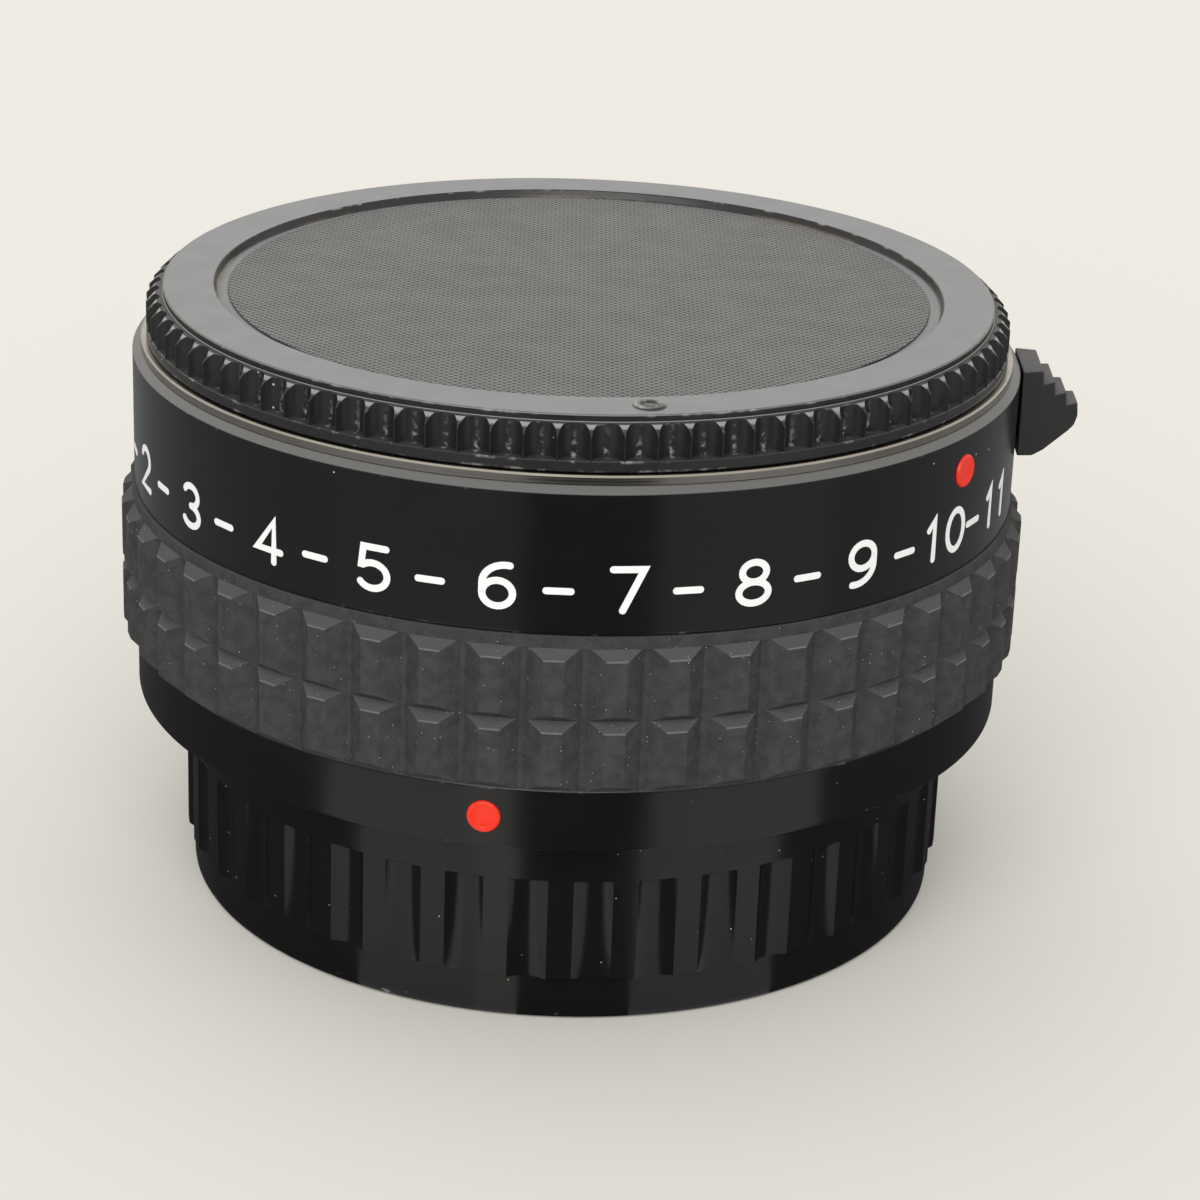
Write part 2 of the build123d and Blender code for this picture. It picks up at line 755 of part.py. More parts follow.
with BuildPart() as chassis:
    add(
        half_section(
            (
                (tube_inner_radius, tube_base),
                (tube_radius, tube_base),
                (tube_radius, chassis_top),
                (chassis_throat_radius, chassis_top),
                (chassis_throat_radius, web_top),
                (lens_barrel_radius + fit_gap, web_top),
                (lens_barrel_radius + fit_gap, web_base),
                (ring_bore_radius, web_base),
                (ring_bore_radius, inner_wall_base),
                (inner_wall_radius, inner_wall_base),
                (inner_wall_radius, flange_base),
                (tube_inner_radius, flange_base),
            )
        )
    )
    revolve(axis=Axis.Z)
    with BuildSketch(Plane.XY.offset(rear_seat + seat_gap)):
        with mount_screw_places():
            Circle(post_radius)
    extrude(amount=flange_base - rear_seat - seat_gap + fit_gap)
    with BuildSketch(Plane.XY.offset(tube_base)):
        rib_circle = (mount_screw_circle + tube_inner_radius) / 2
        rib_length = tube_inner_radius - mount_screw_circle + overrun
        with PolarLocations(rib_circle, mount_screw_count, mount_screw_start):
            Rectangle(rib_length, post_rib_width)
    extrude(amount=flange_base - tube_base)
    with BuildSketch(Plane.XY.offset(inner_wall_base)):
        with Locations(*keeper_places):
            Circle(keeper_ear_radius)
    extrude(amount=keeper_boss_height)
    with BuildSketch(Plane.XY.offset(guide_base)):
        with Locations(((guide_inner_x + tube_inner_radius) / 2, 0)):
            Rectangle(
                tube_inner_radius - guide_inner_x + 2 * overrun, guide_width + 2 * guide_wall
            )
    extrude(amount=flange_base - guide_base)
    # The pockets and holes are cut last, through everything above
    with BuildSketch(Plane.XY.offset(guide_floor_top)):
        with Locations(((guide_inner_x + barrel_radius) / 2, 0)):
            Rectangle(barrel_radius - guide_inner_x, guide_width)
    extrude(amount=chassis_top - guide_floor_top, mode=Mode.SUBTRACT)
    with BuildSketch(Plane.XY.offset(contact_block_base - seat_gap)):
        add(
            ring_sector(
                chassis_throat_radius - overrun,
                contact_block_outer_radius + lift_gap,
                contact_angle,
                contact_block_width + contact_shoulder_angle,
            )
        )
    extrude(amount=contact_block_height + seat_gap, mode=Mode.SUBTRACT)
    with BuildSketch(Plane.XY.offset(rear_seat)):
        add(
            ring_sector(
                rear_block_inner_radius - lift_gap,
                contact_block_outer_radius + lift_gap,
                contact_angle,
                contact_block_width + contact_shoulder_angle,
            )
        )
    extrude(amount=rear_block_top + seat_gap - rear_seat, mode=Mode.SUBTRACT)
    with BuildSketch(Plane.XY.offset(spring_plate_base - seat_gap)):
        Circle(spring_plate_outer_radius + lift_gap)
    extrude(amount=spring_plate_thickness + seat_gap, mode=Mode.SUBTRACT)
    with BuildSketch(Plane.XY.offset(web_base)):
        add(inner_lever_slot(diaphragm_front_angle, diaphragm_travel, diaphragm_margin))
        add(outer_lever_slot(aperture_rest_angle, aperture_travel, aperture_margin))
    extrude(amount=web_thickness, mode=Mode.SUBTRACT)
    with Locations((0, 0, front_face - screw_sink)):
        with mount_screw_places():
            add(mount_screw_cut, mode=Mode.SUBTRACT)
    with Locations((0, 0, rear_face + screw_sink)):
        with mount_screw_places():
            add(mount_screw_cut_from_below, mode=Mode.SUBTRACT)
    with Locations(*[(x, y, keeper_base) for x, y in keeper_places]):
        add(keeper_screw_cut, mode=Mode.SUBTRACT)
    with BuildSketch(radial_plane(stop_pin_inner_radius, stop_angle, stop_pin_level)):
        Circle(stop_peg_radius + fit_gap)
    extrude(amount=stop_pin_length + seat_gap, mode=Mode.SUBTRACT)

chassis.part.label = "chassis"
export_step(chassis.part, "parts/chassis.step")

with BuildPart() as front_stop_pin:
    with BuildSketch(radial_plane(stop_pin_inner_radius, stop_angle, stop_pin_level)):
        Circle(stop_peg_radius)
    extrude(amount=stop_pin_length)

front_stop_pin.part.label = "front_stop_pin"
export_step(front_stop_pin.part, "parts/front_stop_pin.step")

# Ring keeper: holds the two rings up against the web, and carries the spring posts
spring_post_radius = 0.45
spring_post_drop = 2.6
aperture_spring_lead = 40.0
diaphragm_spring_lead = 30.0
inner_lever_middle = inner_lever_radius + inner_lever_depth / 2
outer_lever_middle = outer_lever_radius + outer_lever_depth / 2
spring_post_places = (
    polar(outer_lever_middle, aperture_rear_angle - aperture_spring_lead),
    polar(inner_lever_middle, diaphragm_rest_angle - diaphragm_spring_lead),
)

with BuildPart() as ring_keeper:
    with BuildSketch(Plane.XY.offset(keeper_base)):
        Circle(keeper_radius)
        for angle in keeper_ear_angles:
            add(ring_sector(ring_bore_radius, keeper_ear_circle, angle, keeper_ear_width))
        with Locations(*keeper_places):
            Circle(keeper_ear_radius)
        Circle(lens_barrel_radius + lever_gap, mode=Mode.SUBTRACT)
        add(
            inner_lever_slot(diaphragm_rest_angle, diaphragm_travel, diaphragm_margin),
            mode=Mode.SUBTRACT,
        )
        add(
            outer_lever_slot(aperture_rear_angle, aperture_travel, aperture_margin),
            mode=Mode.SUBTRACT,
        )
        with Locations(*spring_post_places):
            Circle(spring_post_radius + fit_gap, mode=Mode.SUBTRACT)
    extrude(amount=keeper_thickness)
    with Locations(*[(x, y, keeper_base) for x, y in keeper_places]):
        add(keeper_screw_cut, mode=Mode.SUBTRACT)

ring_keeper.part.label = "ring_keeper"
export_step(ring_keeper.part, "parts/ring_keeper.step")

with BuildPart() as keeper_screws:
    with Locations(*[(x, y, keeper_base) for x, y in keeper_places]):
        add(keeper_screw)

keeper_screws.part.label = "keeper_screws"
export_step(keeper_screws.part, "parts/keeper_screws.step")

with BuildPart() as spring_posts:
    with BuildSketch(Plane.XY.offset(keeper_base - spring_post_drop)):
        with Locations(*spring_post_places):
            Circle(spring_post_radius)
    extrude(amount=spring_post_drop + keeper_thickness)

spring_posts.part.label = "spring_posts"
export_step(spring_posts.part, "parts/spring_posts.step")

# Diaphragm ring: passes the closing stroke of the camera on to the lens
ring_base = keeper_top + running_gap
ring_top = ring_base + ring_height
lever_front = front_face - diaphragm_lever_drop
tab_front = front_face - aperture_tab_drop


def lever_sector(radius, depth, angle, width, gap):
    """The section of a lever that stands on a ring, grown by a gap where it is a hole."""
    return ring_sector(radius - gap, radius + depth + gap, angle, width + 2 * gap)


with BuildPart() as diaphragm_ring:
    with BuildSketch(Plane.XY.offset(ring_base)):
        Circle(diaphragm_ring_radius)
        Circle(lens_barrel_radius + running_gap, mode=Mode.SUBTRACT)
        for angle in (diaphragm_rest_angle, diaphragm_front_angle):
            add(
                lever_sector(
                    inner_lever_radius, inner_lever_depth, angle, diaphragm_lever_width, fit_gap
                ),
                mode=Mode.SUBTRACT,
            )
    extrude(amount=ring_height)

diaphragm_ring.part.label = "diaphragm_ring"
export_step(diaphragm_ring.part, "parts/diaphragm_ring.step")

with BuildPart() as diaphragm_front_lever:
    with BuildSketch(Plane.XY.offset(ring_base)):
        add(
            lever_sector(
                inner_lever_radius,
                inner_lever_depth,
                diaphragm_front_angle,
                diaphragm_lever_width,
                0,
            )
        )
    extrude(amount=lever_front - ring_base)

diaphragm_front_lever.part.label = "diaphragm_front_lever"
export_step(diaphragm_front_lever.part, "parts/diaphragm_front_lever.step")

with BuildPart() as diaphragm_rear_lever:
    with BuildSketch(Plane.XY.offset(rear_face - rear_lever_reach)):
        add(
            lever_sector(
                inner_lever_radius, inner_lever_depth, diaphragm_rest_angle, diaphragm_lever_width, 0
            )
        )
    extrude(amount=ring_top - rear_face + rear_lever_reach)

diaphragm_rear_lever.part.label = "diaphragm_rear_lever"
export_step(diaphragm_rear_lever.part, "parts/diaphragm_rear_lever.step")

# Aperture ring: passes the setting of the lens's aperture ring on to the camera
jog_drop = 3.6
jog_thickness = 1.2
jog_level = keeper_base - jog_drop - jog_thickness
aperture_ring_radius = ring_bore_radius - running_gap
aperture_rear_end = rear_face - aperture_rear_reach

with BuildPart() as aperture_ring:
    with BuildSketch(Plane.XY.offset(ring_base)):
        Circle(aperture_ring_radius)
        Circle(diaphragm_ring_radius + ring_to_ring_gap, mode=Mode.SUBTRACT)
        for angle in (aperture_rest_angle, aperture_rear_angle):
            add(
                lever_sector(
                    outer_lever_radius, outer_lever_depth, angle, aperture_tab_width, fit_gap
                ),
                mode=Mode.SUBTRACT,
            )
    extrude(amount=ring_height)

aperture_ring.part.label = "aperture_ring"
export_step(aperture_ring.part, "parts/aperture_ring.step")

with BuildPart() as aperture_front_tab:
    with BuildSketch(Plane.XY.offset(ring_base)):
        add(
            lever_sector(
                outer_lever_radius, outer_lever_depth, aperture_rest_angle, aperture_tab_width, 0
            )
        )
    extrude(amount=tab_front - ring_base)

aperture_front_tab.part.label = "aperture_front_tab"
export_step(aperture_front_tab.part, "parts/aperture_front_tab.step")

with BuildPart() as aperture_rear_tab:
    tab_outline = half_section(
        (
            (inner_lever_radius, aperture_rear_end),
            (inner_lever_radius + inner_lever_depth, aperture_rear_end),
            (inner_lever_radius + inner_lever_depth, jog_level),
            (outer_lever_radius + outer_lever_depth, jog_level),
            (outer_lever_radius + outer_lever_depth, ring_top),
            (outer_lever_radius, ring_top),
            (outer_lever_radius, jog_level + jog_thickness),
            (inner_lever_radius, jog_level + jog_thickness),
        )
    )
    add(Rot(Z=aperture_rear_angle - aperture_tab_width / 2) * tab_outline)
    revolve(axis=Axis.Z, revolution_arc=aperture_tab_width)

aperture_rear_tab.part.label = "aperture_rear_tab"
export_step(aperture_rear_tab.part, "parts/aperture_rear_tab.step")

# Lens barrel: stands in the web by its front flange and holds the glass between its shoulders
lens_barrel_front_depth = 7.15
lens_barrel_rear_reach = 4.85
lens_barrel_flange_width = 0.65
lens_barrel_step = 0.8
lens_barrel_tail_wall = 0.8
lens_barrel_neck_drop = 0.5
front_glass_inset = 3.05
inner_glass_inset = 5.25
shoulder_width = 0.8
front_bore_depth = 3.1
front_group_depth = 8.5
shoulder_length = 4.8
baffle_seat_width = 1.0
baffle_thickness = 0.7
shield_thickness = 0.8
shield_inset = 0.45
front_glass_radius = lens_barrel_radius - front_glass_inset
glass_radius = lens_barrel_radius - inner_glass_inset
lens_barrel_flange_radius = lens_barrel_radius + lens_barrel_flange_width
lens_barrel_front = front_face - lens_barrel_front_depth
lens_barrel_rear = rear_face - lens_barrel_rear_reach
front_shoulder = lens_barrel_front - front_bore_depth
middle_shoulder = front_shoulder - front_group_depth
rear_shoulder = middle_shoulder - shoulder_length
shield_base = rear_face - shield_inset - shield_thickness
shield_top = rear_face - shield_inset
glass_bore_radius = glass_radius + lift_gap
front_glass_bore_radius = front_glass_radius + lift_gap
shoulder_radius = glass_radius - shoulder_width
baffle_seat_radius = glass_bore_radius + baffle_seat_width
lens_barrel_tail_radius = baffle_seat_radius + lens_barrel_tail_wall
lens_barrel_waist_radius = lens_barrel_tail_radius + lens_barrel_step

with BuildPart() as lens_barrel:
    add(
        half_section(
            (
                (baffle_seat_radius, lens_barrel_rear),
                (lens_barrel_tail_radius, lens_barrel_rear),
                (lens_barrel_tail_radius, shield_top + seat_gap),
                (lens_barrel_waist_radius, shield_top + seat_gap),
                (lens_barrel_waist_radius, keeper_base - lens_barrel_neck_drop),
                (lens_barrel_radius, keeper_base - lens_barrel_neck_drop),
                (lens_barrel_radius, web_top + seat_gap),
                (lens_barrel_flange_radius, web_top + seat_gap),
                (lens_barrel_flange_radius, lens_barrel_front),
                (front_glass_bore_radius, lens_barrel_front),
                (front_glass_bore_radius, front_shoulder),
                (glass_bore_radius, front_shoulder),
                (glass_bore_radius, middle_shoulder),
                (shoulder_radius, middle_shoulder),
                (shoulder_radius, rear_shoulder),
                (glass_bore_radius, rear_shoulder),
                (glass_bore_radius, lens_barrel_rear + baffle_thickness),
                (baffle_seat_radius, lens_barrel_rear + baffle_thickness),
            )
        )
    )
    revolve(axis=Axis.Z)

lens_barrel.part.label = "lens_barrel"
export_step(lens_barrel.part, "parts/lens_barrel.step")


def lens_element(radius, edge_base, edge_top, front_rise, rear_drop):
    """A lens between two spheres: a negative rise or drop makes that side hollow."""
    with BuildPart() as element:
        with BuildSketch(Plane.XZ):
            with BuildLine():
                Line((0, edge_base - rear_drop), (0, edge_top + front_rise))
                TangentArc((0, edge_top + front_rise), (radius, edge_top), tangent=(1, 0))
                Line((radius, edge_top), (radius, edge_base))
                TangentArc((0, edge_base - rear_drop), (radius, edge_base), tangent=(1, 0))
            make_face()
        revolve(axis=Axis.Z)
    return element.part


def round_band(inner_radius, outer_radius, base, height):
    """A plain ring."""
    with BuildPart() as band:
        with BuildSketch(Plane.XY.offset(base)):
            Circle(outer_radius)
            Circle(inner_radius, mode=Mode.SUBTRACT)
        extrude(amount=height)
    return band.part


# Glass, from the lens side to the camera side, and the rings that hold it
retaining_ring_wall = 1.6
inner_ring_wall = 1.0
front_ring_height = 1.0
front_edge_height = 1.6
front_glass_rise = 1.2
front_glass_hollow = 0.5
middle_ring_height = 0.65
second_edge_height = 4.0
second_front_hollow = 1.0
second_rear_hollow = 1.2
third_edge_height = 2.4
third_front_rise = 1.15
third_rear_drop = 1.4
rear_edge_height = 2.9
rear_front_hollow = 1.6
rear_glass_drop = 0.6
rear_ring_height = 1.3


def dome_rise(rise, glass, seat):
    """How far a dome stands above the glass's edge at the radius where a ring seats on it."""
    return rise * (1 - (seat / glass) ** 2)


front_ring_inner_radius = front_glass_radius - retaining_ring_wall
inner_ring_inner_radius = glass_radius - inner_ring_wall
front_edge_base = front_shoulder + seat_gap
front_edge_top = front_edge_base + front_edge_height
front_ring_base = (
    front_edge_top
    + dome_rise(front_glass_rise, front_glass_radius, front_ring_inner_radius)
    + seat_gap
)
third_edge_base = (
    middle_shoulder + dome_rise(third_rear_drop, glass_radius, shoulder_radius) + seat_gap
)
third_edge_top = third_edge_base + third_edge_height
spacer_base = (
    third_edge_top
    + dome_rise(third_front_rise, glass_radius, inner_ring_inner_radius)
    + seat_gap
)
second_edge_top = front_shoulder - middle_ring_height - seat_gap
second_edge_base = second_edge_top - second_edge_height
rear_edge_top = rear_shoulder - seat_gap
rear_edge_base = rear_edge_top - rear_edge_height
rear_ring_top = (
    rear_edge_base
    - dome_rise(rear_glass_drop, glass_radius, inner_ring_inner_radius)
    - seat_gap
)

front_element = lens_element(
    front_glass_radius, front_edge_base, front_edge_top, front_glass_rise, -front_glass_hollow
)
second_element = lens_element(
    glass_radius, second_edge_base, second_edge_top, -second_front_hollow, -second_rear_hollow
)
third_element = lens_element(
    glass_radius, third_edge_base, third_edge_top, third_front_rise, third_rear_drop
)
rear_element = lens_element(
    glass_radius, rear_edge_base, rear_edge_top, -rear_front_hollow, rear_glass_drop
)
front_retaining_ring = round_band(
    front_ring_inner_radius,
    front_glass_bore_radius - fit_gap,
    front_ring_base,
    front_ring_height,
)
middle_retaining_ring = round_band(
    inner_ring_inner_radius,
    glass_bore_radius - fit_gap,
    second_edge_top + seat_gap,
    middle_ring_height,
)
spacer_ring = round_band(
    inner_ring_inner_radius,
    glass_bore_radius - fit_gap,
    spacer_base,
    second_edge_base - seat_gap - spacer_base,
)
rear_retaining_ring = round_band(
    inner_ring_inner_radius,
    glass_bore_radius - fit_gap,
    rear_ring_top - rear_ring_height,
    rear_ring_height,
)

for name, piece in (
    ("front_element", front_element),
    ("second_element", second_element),
    ("third_element", third_element),
    ("rear_element", rear_element),
    ("front_retaining_ring", front_retaining_ring),
    ("middle_retaining_ring", middle_retaining_ring),
    ("spacer_ring", spacer_ring),
    ("rear_retaining_ring", rear_retaining_ring),
):
    piece.label = name
    export_step(piece, f"parts/{name}.step")

# Rear baffle: a plate with the camera's picture format, let into the end of the lens barrel
baffle_rim = 1.1
baffle_window_corner = 1.0
picture_height_share = 2 / 3
baffle_window_diagonal = 2 * (baffle_seat_radius - baffle_rim)
baffle_window_length = baffle_window_diagonal / sqrt(1 + picture_height_share**2)
baffle_window_width = baffle_window_length * picture_height_share

with BuildPart() as rear_baffle:
    with BuildSketch(Plane.XY.offset(lens_barrel_rear)):
        Circle(baffle_seat_radius - fit_gap)
        RectangleRounded(
            baffle_window_length, baffle_window_width, baffle_window_corner, mode=Mode.SUBTRACT
        )
    extrude(amount=baffle_thickness - seat_gap)

rear_baffle.part.label = "rear_baffle"
export_step(rear_baffle.part, "parts/rear_baffle.step")

# Light shield: closes the space around the lens barrel and lets the two rear levers through
with BuildPart() as light_shield:
    with BuildSketch(Plane.XY.offset(shield_base)):
        Circle(bayonet_bore_radius - fit_gap)
        Circle(lens_barrel_tail_radius + fit_gap, mode=Mode.SUBTRACT)
        for start, travel, margin in (
            (diaphragm_rest_angle, diaphragm_travel, diaphragm_margin),
            (aperture_rear_angle, aperture_travel, aperture_margin),
        ):
            add(
                round_slot(
                    inner_lever_radius - lever_gap, bayonet_bore_radius, start, travel, margin
                ),
                mode=Mode.SUBTRACT,
            )
    extrude(amount=shield_thickness)

light_shield.part.label = "light_shield"
export_step(light_shield.part, "parts/light_shield.step")

# Front contacts: an insulating block with sprung pins in the front mount ring
pin_radius = 0.42
pin_reach = 0.6
pin_tip_chamfer = 0.14
pin_collar_radius = 0.62
pin_collar_height = 0.5
pin_hole_radius = pin_radius + running_gap
cavity_depth = 1.5
cavity_height = 1.75
cavity_side_margin = 1.2
block_sink = 0.03
cavity_inner_radius = contact_circle - cavity_depth / 2
cavity_outer_radius = contact_circle + cavity_depth / 2
cavity_top = contact_block_base + cavity_height
pin_collar_top = cavity_top - running_gap
pin_collar_base = pin_collar_top - pin_collar_height
contact_places = [polar(contact_circle, angle) for angle in contact_angles]

with BuildPart() as front_contact_block:
    with BuildSketch(Plane.XY.offset(contact_block_base)):
        add(
            ring_sector(
                contact_block_inner_radius,
                contact_block_outer_radius,
                contact_angle,
                contact_block_width,
            )
        )
    extrude(amount=contact_block_height)
    with BuildSketch(Plane.XY.offset(contact_block_top)):
        add(
            ring_sector(
                contact_window_inner_radius + fit_gap,
                contact_window_outer_radius - fit_gap,
                contact_angle,
                contact_window_width - contact_shoulder_angle,
            )
        )
    extrude(amount=front_face - block_sink - contact_block_top)
    with BuildSketch(Plane.XY.offset(contact_block_base)):
        add(
            ring_sector(
                cavity_inner_radius,
                cavity_outer_radius,
                contact_angle,
                contact_window_width - cavity_side_margin,
            )
        )
    extrude(amount=cavity_height, mode=Mode.SUBTRACT)
    with BuildSketch(Plane.XY.offset(contact_block_base)):
        with Locations(*contact_places):
            Circle(pin_hole_radius)
    extrude(amount=front_face - contact_block_base, mode=Mode.SUBTRACT)

front_contact_block.part.label = "front_contact_block"
export_step(front_contact_block.part, "parts/front_contact_block.step")

with BuildPart() as contact_pins:
    with BuildSketch(Plane.XY.offset(pin_collar_base)):
        with Locations(*contact_places):
            Circle(pin_collar_radius)
    extrude(amount=pin_collar_height)
    with BuildSketch(Plane.XY.offset(pin_collar_base)):
        with Locations(*contact_places):
            Circle(pin_radius)
    extrude(amount=front_face + pin_reach - pin_collar_base)
    tips = contact_pins.edges().filter_by(GeomType.CIRCLE).group_by(Axis.Z)[-1]
    chamfer(tips, length=pin_tip_chamfer)

contact_pins.part.label = "contact_pins"
export_step(contact_pins.part, "parts/contact_pins.step")

# Contact springs: bent strips in the block's cavity, one under each pin
strip_angle = 2.7
strip_thickness = 0.15
strip_bend_radius = cavity_inner_radius + running_gap
strip_tip_radius = contact_circle + pin_radius
strip_foot = contact_block_base + seat_gap
strip_tip = pin_collar_base - seat_gap

with BuildPart() as contact_springs:
    strip_outline = half_section(
        (
            (strip_bend_radius, strip_foot),
            (strip_tip_radius, strip_foot),
            (strip_tip_radius, strip_foot + strip_thickness),
            (strip_bend_radius + 2 * strip_thickness, strip_foot + strip_thickness),
            (strip_tip_radius, strip_tip - strip_thickness),
            (strip_tip_radius, strip_tip),
            (strip_bend_radius, strip_foot + strip_thickness),
        )
    )
    for angle in contact_angles:
        add(Rot(Z=angle - strip_angle / 2) * strip_outline)
        revolve(axis=Axis.Z, revolution_arc=strip_angle)

contact_springs.part.label = "contact_springs"
export_step(contact_springs.part, "parts/contact_springs.step")

# Rear contacts: fixed pads in the rear mount ring, wired to the contact springs
rear_pad_radius = 0.8
wire_radius = 0.25
pad_sink = 0.02

with BuildPart() as rear_contact_block:
    with BuildSketch(Plane.XY.offset(rear_seat + seat_gap)):
        add(
            ring_sector(
                rear_block_inner_radius,
                contact_block_outer_radius,
                contact_angle,
                contact_block_width,
            )
        )
    extrude(amount=rear_block_height)
    with BuildSketch(Plane.XY.offset(rear_face + block_sink)):
        add(
            ring_sector(
                contact_window_inner_radius + fit_gap,
                contact_window_outer_radius - fit_gap,
                contact_angle,
                contact_window_width - contact_shoulder_angle,
            )
        )
    extrude(amount=rear_seat + seat_gap - rear_face - block_sink)
    with BuildSketch(Plane.XY.offset(rear_face)):
        with Locations(*contact_places):
            Circle(rear_pad_radius + fit_gap)
    extrude(amount=rear_block_top - rear_face, mode=Mode.SUBTRACT)

rear_contact_block.part.label = "rear_contact_block"
export_step(rear_contact_block.part, "parts/rear_contact_block.step")

with BuildPart() as rear_contacts:
    with BuildSketch(Plane.XY.offset(rear_face + pad_sink)):
        with Locations(*contact_places):
            Circle(rear_pad_radius)
    extrude(amount=rear_block_top - rear_face - pad_sink)

rear_contacts.part.label = "rear_contacts"
export_step(rear_contacts.part, "parts/rear_contacts.step")

with BuildPart() as contact_wires:
    with BuildSketch(Plane.XY.offset(rear_block_top + seat_gap)):
        with Locations(*contact_places):
            Circle(wire_radius)
    extrude(amount=contact_block_base - rear_block_top - seat_gap)

contact_wires.part.label = "contact_wires"
export_step(contact_wires.part, "parts/contact_wires.step")

# Release slider and lock pin: the lever pulls the pin below the face of the mount
lever_tongue_depth = 1.5
slider_pin_depth = 3.6
slider_edge = 0.3
cross_pin_radius = 0.5
lever_tongue_inner_x = slider_outer_x - lever_tongue_depth
cross_pin_x = slider_outer_x - lever_tongue_depth / 2

with BuildPart() as release_slider:
    with BuildSketch(Plane.XY.offset(slider_base)):
        with Locations(((slider_inner_x + slider_outer_x) / 2, 0)):
            Rectangle(slider_outer_x - slider_inner_x, slider_width)
    extrude(amount=slider_height)
    chamfer(release_slider.edges().filter_by(Axis.Z), length=slider_edge)
    with BuildSketch(Plane.YZ.offset(lever_tongue_inner_x - seat_gap)):
        with Locations((0, lever_tongue_top - lever_tongue_height / 2)):
            Rectangle(lever_tongue_width + 2 * fit_gap, lever_tongue_height + 2 * fit_gap)
    extrude(amount=slider_outer_x - lever_tongue_inner_x + overrun, mode=Mode.SUBTRACT)
    with BuildSketch(Plane.XY.offset(slider_top - slider_pin_depth)):
        with Locations((lock_pin_circle, 0)):
            Circle(lock_pin_radius + fit_gap)
    extrude(amount=slider_pin_depth, mode=Mode.SUBTRACT)
    with BuildSketch(Plane.XY.offset(slider_base)):
        with Locations((cross_pin_x, 0)):
            Circle(cross_pin_radius + fit_gap)
    extrude(amount=slider_height, mode=Mode.SUBTRACT)

release_slider.part.label = "release_slider"
export_step(release_slider.part, "parts/release_slider.step")

with BuildPart() as lock_pin:
    with BuildSketch(Plane.XY.offset(slider_top - slider_pin_depth + seat_gap)):
        with Locations((lock_pin_circle, 0)):
            Circle(lock_pin_radius)
    extrude(amount=front_face + lock_pin_reach - slider_top + slider_pin_depth - seat_gap)
    tips = lock_pin.edges().filter_by(GeomType.CIRCLE).group_by(Axis.Z)[-1]
    chamfer(tips, length=lock_pin_chamfer)

lock_pin.part.label = "lock_pin"
export_step(lock_pin.part, "parts/lock_pin.step")

with BuildPart() as lever_cross_pin:
    with BuildSketch(Plane.XY.offset(slider_base + seat_gap)):
        with Locations((cross_pin_x, 0)):
            Circle(cross_pin_radius)
    extrude(amount=slider_height - 2 * seat_gap)

lever_cross_pin.part.label = "lever_cross_pin"
export_step(lever_cross_pin.part, "parts/lever_cross_pin.step")


def square_coil(length, coil_radius, wire, turns):
    """A coil of square wire along Z that starts at zero."""
    with BuildPart() as coil:
        with BuildLine():
            path = Helix(pitch=(length - wire) / turns, height=length - wire, radius=coil_radius)
        with BuildSketch(Plane(origin=path @ 0, z_dir=path % 0)):
            Rectangle(wire, wire)
        sweep(is_frenet=True)
    return Pos(0, 0, wire / 2) * coil.part


release_spring_turns = 4
release_spring_wire = 0.4
release_spring_radius = 1.3
release_spring_length = slider_base - guide_floor_top - 2 * seat_gap
release_spring_x = (slider_inner_x + slider_outer_x) / 2
release_spring = Pos(release_spring_x, 0, guide_floor_top + seat_gap) * square_coil(
    release_spring_length, release_spring_radius, release_spring_wire, release_spring_turns
)
release_spring.label = "release_spring"
export_step(release_spring, "parts/release_spring.step")

# Return springs of the two rings: coils drawn from a post on the keeper to a rear lever
ring_spring_turns = 4
ring_spring_wire = 0.3
ring_spring_radius = 0.75
ring_spring_end_gap = 0.15
ring_spring_level = keeper_base - spring_post_drop / 2


def ring_spring(radius, post_angle, lever_angle, lever_width):
    """A coil along the chord from a spring post to the side of a lever."""
    start = Vector(*polar(radius, post_angle), ring_spring_level)
    end = Vector(*polar(radius, lever_angle - lever_width / 2), ring_spring_level)
    run = (end - start).normalized()
    start += run * (spring_post_radius + ring_spring_end_gap)
    end -= run * (ring_spring_radius / 2 + ring_spring_end_gap)
    coil = square_coil((end - start).length, ring_spring_radius, ring_spring_wire, ring_spring_turns)
    return Plane(origin=start, z_dir=run).location * coil


aperture_spring = ring_spring(
    outer_lever_middle,
    aperture_rear_angle - aperture_spring_lead,
    aperture_rear_angle,
    aperture_tab_width,
)
diaphragm_spring = ring_spring(
    inner_lever_middle,
    diaphragm_rest_angle - diaphragm_spring_lead,
    diaphragm_rest_angle,
    diaphragm_lever_width,
)
for name, piece in (("aperture_spring", aperture_spring), ("diaphragm_spring", diaphragm_spring)):
    piece.label = name
    export_step(piece, f"parts/{name}.step")

# Release lever: a stepped thumb wedge on a strip that follows the barrel
lever_strip_thickness = 0.8
lever_height = 6.4
lever_half_width = 2.9
lever_tip_half_width = 1.3
lever_tread = 0.95
lever_riser = 0.88
lever_step_count = 3
lever_first_tread = 1.55
lever_nose_height = 1.2
lever_nose_radius = 0.5
lever_top = mount_lip_base - bevel_height + lift_gap
lever_strip_bottom = lever_top - lever_height
lever_inner_radius = barrel_radius + running_gap
lever_strip_radius = barrel_radius + lever_strip_thickness
lever_tip_radius = lever_inner_radius + lever_first_tread + lever_step_count * lever_tread
lever_tip_top = lever_top - lever_step_count * lever_riser
lever_nose_bottom = lever_tip_top - lever_nose_height
lever_steps = [(slider_outer_x, lever_top)]
for i in range(lever_step_count):
    step_radius = lever_inner_radius + lever_first_tread + i * lever_tread
    lever_steps.append((step_radius, lever_top - i * lever_riser))
    lever_steps.append((step_radius, lever_top - (i + 1) * lever_riser))

